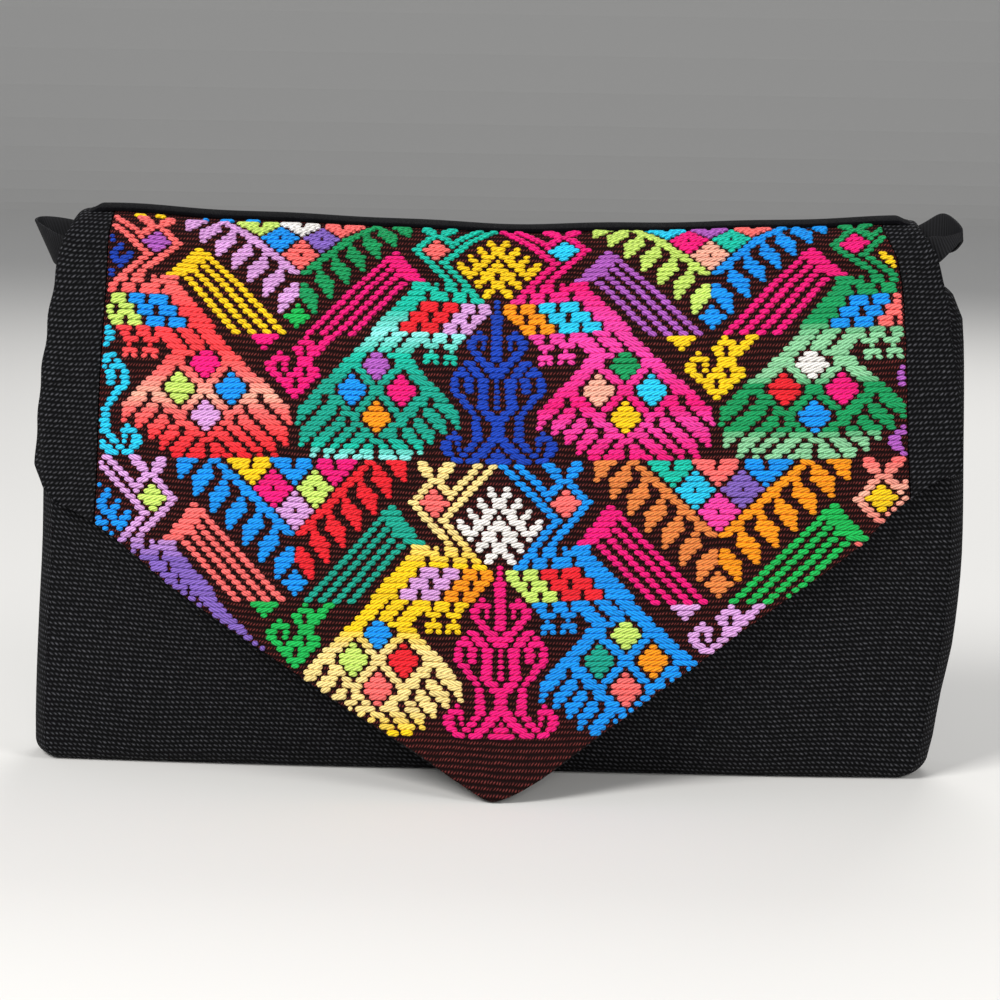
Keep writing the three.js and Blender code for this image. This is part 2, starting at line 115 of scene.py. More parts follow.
floor_mesh = bmesh.new()
bmesh.ops.create_grid(floor_mesh, x_segments=1, y_segments=1, size=FLOOR_HALF)
back_edge = [e for e in floor_mesh.edges if all(v.co.y > FLOOR_HALF - 0.1 for v in e.verts)]
swept = bmesh.ops.spin(
    floor_mesh, geom=back_edge + list(back_edge[0].verts), cent=(0, FLOOR_HALF, SWEEP_RADIUS),
    axis=(1, 0, 0), angle=math.pi / 2, steps=16,
)
sweep_end = [e for e in swept["geom_last"] if isinstance(e, bmesh.types.BMEdge)]
wall = bmesh.ops.extrude_edge_only(floor_mesh, edges=sweep_end)
wall_top = [v for v in wall["geom"] if isinstance(v, bmesh.types.BMVert)]
bmesh.ops.translate(floor_mesh, verts=wall_top, vec=(0, 0, WALL_HEIGHT))
floor = bpy.data.objects.new("floor", bpy.data.meshes.new("floor"))
floor_mesh.to_mesh(floor.data)
floor_mesh.free()
bpy.context.collection.objects.link(floor)

paper, tree, shader = new_material("pale_paper")
shader.inputs["Base Color"].default_value = linear("#d9d7d3")
shader.inputs["Roughness"].default_value = 0.9
floor.data.materials.append(paper)
print("floor faces:", len(floor.data.polygons))


# %% Softboxes and sky
def softbox(name, place, size, power):
    light = bpy.data.objects.new(name, bpy.data.lights.new(name, "AREA"))
    light.data.size = size
    light.data.energy = power
    light.location = place
    light.rotation_euler = (Vector(place) - AIM).to_track_quat("Z", "Y").to_euler()
    bpy.context.collection.objects.link(light)


softbox("softbox_left", (-0.75, -0.95, 1.05), 0.55, 23)
softbox("softbox_right", (0.95, -0.75, 0.75), 0.5, 7)
softbox("strip_front", (0.1, -1.3, 0.35), 0.4, 3)
softbox("softbox_back", (0.2, 1.1, 1.0), 0.8, 9)

world = bpy.context.scene.world or bpy.data.worlds.new("studio")
bpy.context.scene.world = world
world.use_nodes = True
world.node_tree.nodes["Background"].inputs["Color"].default_value = linear("#e6e9ee")
world.node_tree.nodes["Background"].inputs["Strength"].default_value = 0.4
bpy.context.scene.view_settings.view_transform = "Standard"  # keeps the yarns' bright dyes bright
print("lights:", [light.name for light in bpy.data.lights])

# %% [markdown]
# ## The shape of the cloth
# The solids were shaped from a few tables of shares, read between their rows with a smooth curve.
# The same tables are repeated here, in millimetres, so that each fine cloth lies where its solid is.

# %% Sizes and tables, repeated from the solids
WIDTH, HEIGHT = 290.0, 173.5
FRONT_DEPTH, BACK_DEPTH, CREASE_DEPTH = 30.0, 19.0, 15.0
SIDE_BULGE, SIDE_ROUND, HEM_RADIUS = 5.5, 4.0, 5.0
MOUTH_HEIGHT, SIDE_HEIGHT = 150.0, 153.0
POUCH_CLOTH, LINING_CLOTH, FACE_CLOTH, BAND_CLOTH, SEAM_GAP = 1.8, 1.2, 1.4, 1.2, 0.3
FOLD_RADIUS, FOLD_SAG, FLAP_REACH = 9.0, 4.0, 40.0
EDGE_TURN, TURN_ANGLE, TURN_BEND = 9.0, math.radians(55), 3.0
FACE_INSIDE = LINING_CLOTH + SEAM_GAP
FACE_OUTSIDE = FACE_INSIDE + FACE_CLOTH
BAND_INSIDE = FACE_OUTSIDE + SEAM_GAP
FOLD_TOP = HEIGHT - BAND_INSIDE - BAND_CLOTH

POUCH = """
height left  right crease rearCrease front back
0.0    1.0   0.936 0.93 0.9  0.16 0.15
0.05   1.0   0.95  0.97 0.95 0.38 0.35
0.14   0.997 0.965 1.0  1.0  0.67 0.65
0.26   0.99  0.99  1.0  1.0  0.9  0.9
0.41   0.98  1.0   1.0  1.0  1.0  1.0
0.6    0.975 0.994 0.9  0.93 0.86 0.9
0.75   0.965 0.988 0.7  0.78 0.5  0.55
0.835  0.955 0.98  0.53 0.7  0.2  0.25
0.88   0.945 0.955 0.45 0.68 0.08 0.08
1.0    0.945 0.953 0.45 0.68 0.0  0.0
"""
FLAP = """
drop  left  right seamLeft seamRight turnLeft turnRight
-0.06 0.87  0.86  0.817 0.8   0.45 0.22
0.0   0.89  0.892 0.823 0.832 0.45 0.22
0.08  0.903 0.915 0.824 0.844 0.45 0.22
0.17  0.914 0.93  0.826 0.848 0.42 0.22
0.33  0.928 0.95  0.828 0.853 0.55 0.22
0.43  0.924 0.952 0.832 0.862 1.0  0.22
0.55  0.922 0.952 0.838 0.874 1.0  0.22
1.0   0.922 0.952 0.838 0.874 1.0  0.22
"""
REACH = """
drop middle edge
0.0  0.0   0.0
0.08 0.105 0.035
0.17 0.28  0.085
0.33 0.49  0.17
0.55 0.605 0.23
0.71 0.67  0.27
0.85 0.785 0.36
1.0  1.0   0.6
"""
EDGE = """
across height
-2.0  0.54
-1.0  0.476
-0.91 0.447
-0.71 0.335
-0.45 0.2085
-0.27 0.1215
-0.14 0.065
-0.06 0.028
0.016 0.003
0.05  0.0105
0.1   0.0294
0.19  0.078
0.41  0.208
0.6   0.322
0.8   0.4386
0.885 0.505
1.0   0.555
2.0   0.56
"""
print("the bag is", WIDTH, "x", HEIGHT, "mm, and the flap stands on a fold of radius", FOLD_RADIUS)


# %% Smooth curves through the tables
def words(table):
    """A table's lines, each cut into its words."""
    return [line.split() for line in table.strip().splitlines()]


def curve_through(x, y, ends_level):
    """A smooth curve through a table's column that never overshoots its rows."""
    rise = np.diff(y) / np.diff(x)
    slope = np.zeros(len(x))
    for i in range(1, len(x) - 1):
        if rise[i - 1] * rise[i] > 0:
            slope[i] = 2 * rise[i - 1] * rise[i] / (rise[i - 1] + rise[i])
    if not ends_level:
        slope[0], slope[-1] = rise[0], rise[-1]

    def read(at):
        here = np.clip(at, x[0], x[-1])
        i = np.clip(np.searchsorted(x, here, side="right") - 1, 0, len(x) - 2)
        span = x[i + 1] - x[i]
        t = (here - x[i]) / span
        stay = 2 * t**3 - 3 * t**2 + 1
        tangents = (t**3 - 2 * t**2 + t) * slope[i] + (t**3 - t**2) * slope[i + 1]
        return stay * y[i] + (1 - stay) * y[i + 1] + span * tangents

    return read


def curves(table):
    """A curve for each column of a table, under the column's name."""
    names, *rows = words(table)
    columns = np.array(rows, float).T
    return {
        name: curve_through(columns[0], column, ends_level=name != "height")
        for name, column in zip(names, columns)
    }


pouch, flap, reach, edge = (curves(table) for table in (POUCH, FLAP, REACH, EDGE))
print("tables read:", [len(t) for t in (pouch, flap, reach, edge)])

# %% [markdown]
# ### The flap as a surface
# A point of the flap is named by how far across it lies, -1 to 1 between the creases and on to 2
# over a turned edge, and by how many millimetres it lies below the place where the fold has turned
# to face forward. Above that place, the number is negative and runs back over the fold.

# %% The flap's inner face
LEAST_OPENING = 0.15  # a turned edge never narrows to nothing


def ease(t):
    """Turns a straight rise from 0 to 1 into one that starts and ends level."""
    t = np.clip(t, 0, 1)
    return t * t * (3 - 2 * t)


def crown(across):
    return 1 - np.minimum(1, np.abs(across)) ** 3


def fold_start(across):
    return FOLD_TOP - FOLD_RADIUS - FOLD_SAG * (1 - np.clip(across, -1, 1) ** 2) ** 2


def flap_length(across):
    return fold_start(across) - HEIGHT * edge["height"](across)


def flap_drop(across, below):
    """The share of the way down to the floor, and the angle turned over the fold."""
    tangent = fold_start(across)
    angle = math.pi / 2 + np.minimum(below, 0) / FOLD_RADIUS
    z = tangent - np.maximum(below, 0) + FOLD_RADIUS * np.cos(angle)
    return 1 - z / tangent, angle, z


def crease_reach(across, drop):
    return WIDTH / 2 * np.where(across < 0, flap["left"](drop), flap["right"](drop))


def flap_inside(across, below):
    drop, angle, z = flap_drop(across, below)
    a = np.clip(across, -1, 1)
    middle, side_reach = reach["middle"](drop), reach["edge"](drop)
    forward = side_reach + (middle - side_reach) * crown(a)
    x = a * crease_reach(across, drop)
    y = -FOLD_RADIUS * np.sin(angle) - FLAP_REACH * forward
    down = np.where(below < 0, below / (FOLD_RADIUS * math.pi), below / flap_length(across))
    opening = LEAST_OPENING + (1 - LEAST_OPENING) * ease((down + 0.75) / 0.8)
    share = np.where(across < 0, flap["turnLeft"](drop), flap["turnRight"](drop))
    turn = EDGE_TURN * share * opening * np.maximum(0, np.abs(across) - 1)
    bend = np.minimum(turn, TURN_BEND)
    radius = TURN_BEND / TURN_ANGLE
    turned = bend / radius
    out = radius * np.sin(turned) + (turn - bend) * np.cos(turned)
    inward = radius * (1 - np.cos(turned)) + (turn - bend) * np.sin(turned)
    x = x + np.sign(across) * out
    return np.stack([x, y + inward * np.sin(angle), z - inward * np.cos(angle)], -1)


def flap_normal(across, below):
    step, mm = 1e-3, 1e-2
    wide = flap_inside(across + step, below) - flap_inside(across - step, below)
    down = flap_inside(across, below + mm) - flap_inside(across, below - mm)
    normal = np.cross(down, wide)
    return normal / np.linalg.norm(normal, axis=-1, keepdims=True)


tip = flap_inside(np.array([0.0]), flap_length(np.array([0.0])))[0]
print("tip of the flap, mm:", [round(float(v), 1) for v in tip])


# %% Lumps of stuffed cloth, and layers lifted off the inner face
def ripple(x, z):
    """Slow lumps of cloth that was stuffed and sewn by hand, in mm."""
    slow = 0.5 * np.sin(x / 19 + z / 27 + 0.6) * np.sin(z / 21 - x / 43 + 2.1)
    return slow + 0.2 * np.sin(x / 7.5 + z / 41) * np.sin(z / 13 + 1.1)


def border_folds(x, z):
    """A soft ridge down each border, and small puckers beside the turned edge, in mm."""
    high = np.clip((z - 92) / 30, 0, 1)
    ridge = 0.9 * np.exp(-(((np.abs(x) - 121.5 - z / 90) / 2.0) ** 2)) * high
    return ridge + 0.3 * np.sin(z / 2.6 + x / 5) * np.clip((np.abs(x) - 121) / 8, 0, 1) * high


def flap_layer(across, below, lift):
    """Points that lie lift mm off the inner face. The borders' ridges fade out over the fold."""
    inside = flap_inside(across, below)
    x, z = inside[..., 0], inside[..., 2]
    lumps = ripple(x, z) + border_folds(x, z) * np.clip(below / 12 + 0.3, 0, 1)
    return inside + flap_normal(across, below) * (lift + lumps)[..., None]


def across_of(x, below):
    """Turns millimetres from the middle into a share across, at a given place down the flap."""
    across = x / 130  # a first guess
    for _ in range(6):
        across = x / crease_reach(across, flap_drop(across, below)[0])
    return across


shares = across_of(np.array([-80.0, 80.0]), np.array([50.0, 50.0]))
print("shares across at 80 mm left and right:", shares.round(3))

# %% [markdown]
# ### Cloth from a grid
# Each cloth piece starts as a flat grid, as cloth does. Its points are moved to the piece's place,
# and a Solidify modifier gives the cloth its thickness behind its face. The grid also gives the
# cloth a map in millimetres, so that its ribs run along the cloth and not through space.

# %% Make a cloth piece
RIB_WANDER = 1.3  # hand woven ribs wander by this much of the cloth's lumps


def cloth_piece(
    name, place, columns, rows, thickness, replaces, finish,
    slanted=False,
):
    """place maps two arrays, each 0 to 1, across and down, to points and to a map in mm."""
    cloth = bmesh.new()
    bmesh.ops.create_grid(cloth, x_segments=columns, y_segments=rows, size=0.5)
    cloth.verts.ensure_lookup_table()
    flat = np.array([v.co for v in cloth.verts]) + 0.5
    points, mapped = place(flat[:, 0], 1 - flat[:, 1])
    mapped[:, 1] += RIB_WANDER * ripple(points[:, 0], points[:, 2])
    points = points / 1000
    net = points.reshape(rows + 1, columns + 1, 3)
    level = net[..., :2] if slanted else net  # a slanted edge is longer than the cloth is wide
    wide = np.linalg.norm(np.diff(level, axis=1), axis=2).sum(1).max()
    flat_size = wide, np.linalg.norm(np.diff(net, axis=0), axis=2).sum(0).max()
    for vert, point in zip(cloth.verts, points):
        vert.co = point
    layer = cloth.loops.layers.uv.new("cloth")
    for face in cloth.faces:
        face.smooth = True
        for loop in face.loops:
            loop[layer].uv = mapped[loop.vert.index]
    bmesh.ops.remove_doubles(cloth, verts=cloth.verts, dist=1e-6)
    area = sum(face.calc_area() for face in cloth.faces)
    mesh = bpy.data.meshes.new(name)
    cloth.to_mesh(mesh)
    cloth.free()
    piece = bpy.data.objects.new(name, mesh)
    bpy.context.collection.objects.link(piece)
    mesh.materials.append(finish)
    solid = piece.modifiers.new("thickness", "SOLIDIFY")
    solid.thickness = thickness / 1000
    solid.offset = -1
    soft = piece.modifiers.new("soft_edge", "BEVEL")
    soft.width = 0.3 * thickness / 1000
    soft.segments = 2
    soft.limit_method = "ANGLE"
    soft.angle_limit = math.radians(50)
    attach(piece, "root")
    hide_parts(*replaces)
    cut = " x ".join(f"{side * 1000:.0f}" for side in flat_size)
    print(f"{name}: cut {cut} mm, {area * 1e4:.0f} cm2")
    return piece


# %% [markdown]
# ## Cloth finishes
# The black cloth is a hand woven cotton repp: thick weft ribs, 1.6 mm apart, under a fine slanted
# warp. The eye sees rows of small grey dashes on black, because only the tops of the threads catch
# the light. The brocade's ground is the same weave in brown and dark red. Two waves, one along the
# ribs and one along the slanted warp, are multiplied to give the dashes and their relief. The
# dashes' lighter colour is a painted highlight on the thread tops, and the dark between them is
# partly painted shade. A slow noise makes the painted highlight stronger in some patches.

# %% Repp weave
WAVE_PITCH = 2 * math.pi / 20  # a wave texture of scale 1 repeats after this many units


def repp(name, base, thread, rib_pitch, warp_pitch, slant, sharpness, relief, highlight_gain):
    """A ribbed cotton, with pitches in mm on the piece's own map, slant in degrees."""
    material, tree, shader = new_material(name)
    cloth = add(tree, "ShaderNodeUVMap", uv_map="cloth")
    flat_map = cloth.outputs["UV"]
    ribs = add(
        tree, "ShaderNodeTexWave",
        {
            "Vector": flat_map, "Scale": WAVE_PITCH / rib_pitch,
            "Distortion": 1.3, "Detail": 1.0, "Detail Scale": 1.2,
        },
        wave_type="BANDS", bands_direction="Y",
    )
    turned = add(tree, "ShaderNodeMapping", {"Vector": flat_map, "Rotation": (0, 0, math.radians(slant))})
    warp = add(
        tree, "ShaderNodeTexWave",
        {
            "Vector": turned.outputs["Vector"], "Scale": WAVE_PITCH / warp_pitch,
            "Distortion": 2.6, "Detail": 1.5, "Detail Scale": 1.5,
        },
        wave_type="BANDS", bands_direction="X",
    )
    rib, thread_top = ribs.outputs["Fac"], warp.outputs["Fac"]
    dashes = add(tree, "ShaderNodeMath", {0: rib, 1: thread_top}, operation="MULTIPLY").outputs[0]
    # A slow noise that makes the painted highlight on the dashes stronger in some patches than others.
    uneven_highlight_noise = add(
        tree, "ShaderNodeTexNoise", {"Vector": flat_map, "Scale": 0.35, "Detail": 4.0, "Roughness": 0.7},
    )
    patchy = add(
        tree, "ShaderNodeMapRange",
        {
            "Value": uneven_highlight_noise.outputs["Fac"], "From Min": 0.3, "From Max": 0.7,
            "To Min": 0.25 * highlight_gain, "To Max": 1.4 * highlight_gain,
        },
    )
    crests = add(tree, "ShaderNodeMath", {0: dashes, 1: sharpness}, operation="POWER").outputs[0]
    lit = add(tree, "ShaderNodeMath", {0: crests, 1: patchy.outputs["Result"]}, operation="MULTIPLY")
    # Painted highlight: the colour runs from base to thread where the dashes' crests would catch the light.
    colour = add(
        tree, "ShaderNodeMixRGB",
        {"Fac": lit.outputs[0], "Color1": linear(base), "Color2": linear(thread)},
    )
    height = add(tree, "ShaderNodeMath", {0: rib, 1: 0.5, 2: dashes}, operation="MULTIPLY_ADD")
    bump = add(tree, "ShaderNodeBump", {"Height": height.outputs[0], "Strength": relief, "Distance": 0.0005})
    tree.links.new(colour.outputs["Color"], shader.inputs["Base Color"])
    tree.links.new(bump.outputs["Normal"], shader.inputs["Normal"])
    shader.inputs["Roughness"].default_value = 0.9
    shader.inputs["Specular IOR Level"].default_value = 0.1
    return material


# The thread colours are painted highlights on the thread tops: grey on the black cotton, and on the brown
# ground the red-brown thread's own colour made lighter.
black_cotton = repp(
    "black_cotton_repp", "#030304", "#505054", rib_pitch=1.6, warp_pitch=1.2, slant=38,
    sharpness=1.8, relief=0.8, highlight_gain=0.9,
)
brown_ground = repp(
    "brown_cotton_repp", "#0f0303", "#74322f", rib_pitch=1.68, warp_pitch=0.8, slant=30,
    sharpness=1.8, relief=0.9, highlight_gain=1.25,
)
print("repp nodes:", len(black_cotton.node_tree.nodes), "and", len(brown_ground.node_tree.nodes))

# %% [markdown]
# ### Velvet, ribbon and magnet
# The velvet strip is short black cotton pile. It drinks the light, apart from a faint sheen where it
# turns away. The loops are black grosgrain, a ribbon with fine ribs across it and a slight gloss.
# The hidden magnet is pressed steel with a nickel plate.

# %% Velvet
black_velvet, tree, shader = new_material("black_cotton_velvet")
cloth = add(tree, "ShaderNodeUVMap", uv_map="cloth")
flat_map = cloth.outputs["UV"]
pile = add(tree, "ShaderNodeTexNoise", {"Vector": flat_map, "Scale": 2.4, "Detail": 3.0, "Roughness": 0.6})
brushed = add(tree, "ShaderNodeTexNoise", {"Vector": flat_map, "Scale": 0.12, "Detail": 2.0})
depth = add(tree, "ShaderNodeMath", {0: pile.outputs["Fac"], 1: brushed.outputs["Fac"]}, operation="MULTIPLY")
colour = add(
    tree, "ShaderNodeMixRGB",
    {"Fac": depth.outputs[0], "Color1": linear("#030304"), "Color2": linear("#16161a")},
)
bump = add(tree, "ShaderNodeBump", {"Height": pile.outputs["Fac"], "Strength": 1.0, "Distance": 0.0006})
tree.links.new(colour.outputs["Color"], shader.inputs["Base Color"])
tree.links.new(bump.outputs["Normal"], shader.inputs["Normal"])
shader.inputs["Roughness"].default_value = 1.0
shader.inputs["Specular IOR Level"].default_value = 0.05
shader.inputs["Sheen Weight"].default_value = 0.02
shader.inputs["Sheen Roughness"].default_value = 0.4
print("velvet nodes:", len(tree.nodes))

# %% Grosgrain ribbon
RIBBON_RIB = 0.8  # mm between the ribbon's ribs

grosgrain, tree, shader = new_material("black_grosgrain_ribbon")
ribbon = add(tree, "ShaderNodeUVMap", uv_map="cloth")
ribs = add(
    tree, "ShaderNodeTexWave",
    {"Vector": ribbon.outputs["UV"], "Scale": WAVE_PITCH / RIBBON_RIB, "Distortion": 0.4, "Detail": 1.0},
    wave_type="BANDS", bands_direction="Y",
)
# Painted highlight on the ribs' crests and painted shade between them: the colour follows the relief's wave.
colour = add(
    tree, "ShaderNodeMixRGB",
    {"Fac": ribs.outputs["Fac"], "Color1": linear("#020203"), "Color2": linear("#131316")},
)
bump = add(tree, "ShaderNodeBump", {"Height": ribs.outputs["Fac"], "Strength": 0.6, "Distance": 0.0002})
tree.links.new(colour.outputs["Color"], shader.inputs["Base Color"])
tree.links.new(bump.outputs["Normal"], shader.inputs["Normal"])
shader.inputs["Roughness"].default_value = 0.7
shader.inputs["Specular IOR Level"].default_value = 0.2
print("grosgrain nodes:", len(tree.nodes))

# %% Nickel on the magnet
nickel, tree, shader = new_material("nickel_plated_steel")
place = add(tree, "ShaderNodeTexCoord")
scuffs = add(tree, "ShaderNodeTexNoise", {"Vector": place.outputs["Object"], "Scale": 900.0, "Detail": 3.0})
gloss = add(tree, "ShaderNodeMapRange", {"Value": scuffs.outputs["Fac"], "To Min": 0.18, "To Max": 0.42})
tree.links.new(gloss.outputs["Result"], shader.inputs["Roughness"])
shader.inputs["Base Color"].default_value = linear("#b9b6ae")
shader.inputs["Metallic"].default_value = 1.0
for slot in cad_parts["magnetic_snap"].material_slots:
    slot.material = nickel
print("nickel nodes:", len(tree.nodes))

# %% [markdown]
# ## The pouch
# Four walls rise from a rounded hem to the mouth. The front and back are crowned by the stuffing,
# and the ends swell out between their two creases. They meet in stitched seams, left a hair open.

# %% Height and outline of the pouch
REAR_CREASE_TOP = 0.68  # the rear crease's share of its depth where the back meets the fold


def pouch_section(rise, wall, top=SIDE_HEIGHT):
    """rise runs 0 to 1 through the hem, 1 to 2 to the mouth, 2 to 3 to the sides' top, 3 to 4 to the top."""
    levels = [HEM_RADIUS, MOUTH_HEIGHT, SIDE_HEIGHT]
    z = np.interp(rise, [1, 2, 3], levels) + np.maximum(0, rise - 3) * (top - SIDE_HEIGHT)
    radius = HEM_RADIUS - wall
    low = np.clip(rise, 0, 1) * math.pi / 2
    z = np.where(rise < 1, wall + radius * (1 - np.cos(low)), z)
    hem = np.where(rise < 1, radius * (1 - np.sin(low)), 0)
    share = z / HEIGHT
    inset = wall / 2 + hem
    fold_back = FOLD_RADIUS + LINING_CLOTH
    swell = (pouch["rearCrease"](share) - REAR_CREASE_TOP) / (1 - REAR_CREASE_TOP)
    return {
        "z": z,
        "left": WIDTH / 2 * pouch["left"](share) - SIDE_BULGE - inset,
        "right": WIDTH / 2 * pouch["right"](share) - SIDE_BULGE - inset,
        "crease": CREASE_DEPTH * pouch["crease"](share) - wall - hem,
        "rear": fold_back + (CREASE_DEPTH - fold_back) * swell - wall - hem,
        "front": (FRONT_DEPTH - CREASE_DEPTH) * pouch["front"](share),
        "back": (BACK_DEPTH - CREASE_DEPTH) * pouch["back"](share),
        "bulge": SIDE_BULGE - wall / 2,
    }


def stuffing(x, z, across):
    """Lumps where the padding pushes at a panel, fading out at its seams and its hem."""
    from_seams = np.clip((1 - np.abs(across)) * 8, 0, 1)
    from_hem = np.clip(z / 20 - 0.25, 0, 1)
    from_mouth = np.clip((MOUTH_HEIGHT - z) / 20, 0, 1)
    lumps = 1.3 * ripple(x * 0.8 + 40, z * 1.1) + 0.25 * np.sin(x / 5.5) * np.sin(z / 17 + x / 31)
    return from_seams * from_hem * from_mouth * lumps


def side_reach_at(section, across):
    return across * (np.where(across < 0, section["left"], section["right"]) - SEAM_GAP / 2)


hem_and_mouth = pouch_section(np.array([0.0, 2.0]), 0)
print("the pouch's right side at the hem and the mouth, mm:", hem_and_mouth["right"].round(1))


# %% The four walls
def front_wall(u, v):
    across, rise = 2 * u - 1, 2 * (1 - v)
    at = pouch_section(rise, 0)
    x = side_reach_at(at, across)
    y = -(at["crease"] + at["front"] * crown(across) + stuffing(x, at["z"], across))
    return np.stack([x, y, at["z"]], -1), np.stack([x, -at["z"]], -1)


def back_wall(u, v):
    across, rise = 1 - 2 * u, 4 * (1 - v)
    at = pouch_section(rise, 0, fold_start(across) - SEAM_GAP)
    x = side_reach_at(at, across)
    y = at["rear"] + at["back"] * crown(across) + stuffing(x, at["z"], across)
    return np.stack([x, y, at["z"]], -1), np.stack([x, -at["z"]], -1)


def end_wall(side):
    def place(u, v):
        around, rise = (2 * u - 1) * side, 3 * (1 - v)
        at = pouch_section(rise, 0)
        half = (at["crease"] + at["rear"]) / 2
        top = np.clip((at["z"] - SIDE_HEIGHT) / SIDE_ROUND + 1, 0, 1)
        bulge = at["bulge"] - SIDE_ROUND * (1 - np.sqrt(1 - top**2))
        out = (at["left"] if side < 0 else at["right"]) + bulge * (1 - around**2)
        y = (at["rear"] - at["crease"]) / 2 + around * (half - SEAM_GAP)
        return np.stack([side * out, y, at["z"]], -1), np.stack([y * side, -at["z"]], -1)

    return place


cloth_piece("front_cloth", front_wall, 72, 48, POUCH_CLOTH, ["front_panel"], black_cotton)
cloth_piece("back_cloth", back_wall, 72, 64, POUCH_CLOTH, ["back_panel"], black_cotton)
for name, side in (("left", -1), ("right", 1)):
    cloth_piece(
        f"{name}_end_cloth", end_wall(side), 16, 60, POUCH_CLOTH, [f"side_panel_{name}"],
        black_cotton,
    )

# %% [markdown]
# ## The flap's layers
# The lining, the brocade, its two borders and the velvet band lie on each other as sheets do. A
# place on a layer is named by its share across: 0 to 1 over the brocade, on to 2 over a border, and
# on to 3 over the border's turned edge. Places on the fold are named by the angle turned, in
# degrees: -90 faces back, 0 is the crest and 90 faces forward.

# %% Place a flap layer
def layer_across(share, below):
    outwards = np.abs(share)
    drop = flap_drop(share * 0.8, below)[0]  # a seam lies about 0.8 of the way to its crease
    seam_left = flap["seamLeft"](drop) / flap["left"](drop)
    seam_right = flap["seamRight"](drop) / flap["right"](drop)
    seam = np.where(share < 0, seam_left, seam_right)
    across = np.where(outwards > 1, seam + (outwards - 1) * (1 - seam), outwards * seam)
    across = np.where(outwards > 2, outwards - 1, across)
    return np.sign(share) * across


def flap_cloth(first, last, top, lift, aside=0.0, stop=None):
    """A layer between two shares, from the angle top down to the flap's edge, or to the angle stop.

    aside leaves a gap at a seam, in mm.
    """

    def place(u, v):
        share = first + (last - first) * u
        start = FOLD_RADIUS * math.radians(top - 90)
        across = layer_across(share, np.zeros_like(share))
        for _ in range(3):
            end = flap_length(across) if stop is None else FOLD_RADIUS * math.radians(stop - 90)
            below = start + (end - start) * v
            across = layer_across(share, below) + np.sign(share) * aside * 2 / WIDTH
        lifts = lift(share, below) if callable(lift) else np.full_like(share, lift)
        points = flap_layer(across, below, lifts)
        scale = (FOLD_RADIUS + lifts) / FOLD_RADIUS
        along = np.where(below < 0, below * scale, below)
        return points, np.stack([points[:, 0], -along], -1)

    return place


# %% Lining, brocade and borders
cloth_piece(
    "flap_lining_cloth", flap_cloth(-3, 3, -90, LINING_CLOTH), 96, 72, LINING_CLOTH, ["flap_lining"],
    black_cotton, slanted=True,
)
cloth_piece(
    "brocade_ground", flap_cloth(-1, 1, 12, FACE_OUTSIDE, -SEAM_GAP / 2), 160, 110, FACE_CLOTH,
    ["brocade_panel"], brown_ground, slanted=True,
)
for name, first, last in (("left", -3, -1), ("right", 1, 3)):
    cloth_piece(
        f"{name}_border_cloth", flap_cloth(first, last, -36, FACE_OUTSIDE, SEAM_GAP / 2), 44, 110,
        FACE_CLOTH, [f"border_{name}"], black_cotton,
        slanted=True,
    )


# %% Velvet binding over the fold
THINS_FROM, THINS_OVER = 1.5, 0.45  # shares across
STEPS_DOWN_AT, STEPS_DOWN_OVER = -38, 16  # degrees on the fold, where the borders end under it


def band_lift(share, below):
    """The binding thins out at its two turned ends, and behind the borders it lies on the lining."""
    thinned = (BAND_CLOTH + 0.1) * ease((np.abs(share) - THINS_FROM) / THINS_OVER)
    angle = 90 + np.degrees(below / FOLD_RADIUS)
    behind = np.clip((STEPS_DOWN_AT - angle) / STEPS_DOWN_OVER, 0, 1)
    return BAND_INSIDE + BAND_CLOTH - thinned - FACE_CLOTH * behind


cloth_piece(
    "velvet_binding", flap_cloth(-1.96, 1.96, -72, band_lift, stop=25), 160, 24, BAND_CLOTH, ["velvet_band"],
    black_velvet,
)

# %% [markdown]
# ## The base and the ribbon loops
# The base closes the ring of hems that the clutch stands on. The loops are short lengths of ribbon,
# folded double and caught in the side seams, for a strap that isn't here. Each is drawn as the
# cloth between two smooth lines, the ribbon's upper edge and its lower one, as they run out round
# the loop and back.

# %% Base
def base_floor(u, v):
    across, around = 2 * u - 1, 2 * v - 1
    at = pouch_section(np.zeros_like(u), 0)
    front = at["crease"] + at["front"] * crown(across) - SEAM_GAP
    back = at["rear"] + at["back"] * crown(across) - SEAM_GAP
    end = at["bulge"] * (1 - around**2) * np.abs(across) ** 8
    side = np.where(across < 0, at["left"], at["right"]) - SEAM_GAP
    x = across * side + np.sign(across) * end
    y = -front * (1 - v) + back * v
    return np.stack([x, y, np.zeros_like(x)], -1), np.stack([x, y], -1)


cloth_piece(
    "base_cloth", base_floor, 60, 12, POUCH_CLOTH, ["base_panel"], black_cotton
)

# %% Ribbon loops
RIBBON_WIDTH, RIBBON_LENGTH, RIBBON_CLOTH = 11, 34, 0.7
LEFT_RIBBON = """
topX   topY topZ  lowX   lowY lowZ
-127.0 -2.4 161.0 -127.0 -2.4 151.8
-131.5 -2.8 162.0 -131.5 -2.8 152.4
-136.6 -3.2 164.2 -134.4 -2.8 153.4
-141.0 -2.9 166.8 -136.6 -2.0 154.6
-143.3 -0.4 168.3 -137.6 0.0  155.6
-141.8 2.3  169.0 -136.4 1.8  156.2
-136.0 2.9  168.6 -132.4 2.6  157.0
-127.0 2.6  167.0 -127.0 2.6  157.0
"""
RIGHT_RIBBON = """
topX  topY topZ  lowX  lowY lowZ
126.0 -3.0 166.6 127.0 -3.6 156.6
131.2 -4.2 167.9 133.2 -4.6 159.6
135.2 -4.8 168.1 137.4 -5.4 163.8
138.6 -4.9 169.0 139.6 -5.6 166.4
140.8 -3.2 170.2 140.9 -4.6 166.6
138.4 0.2  173.3 139.0 -1.0 163.4
134.9 2.6  174.6 135.0 2.0  162.0
129.6 3.6  171.6 130.0 3.2  160.6
124.0 3.0  168.6 124.0 3.0  158.6
"""


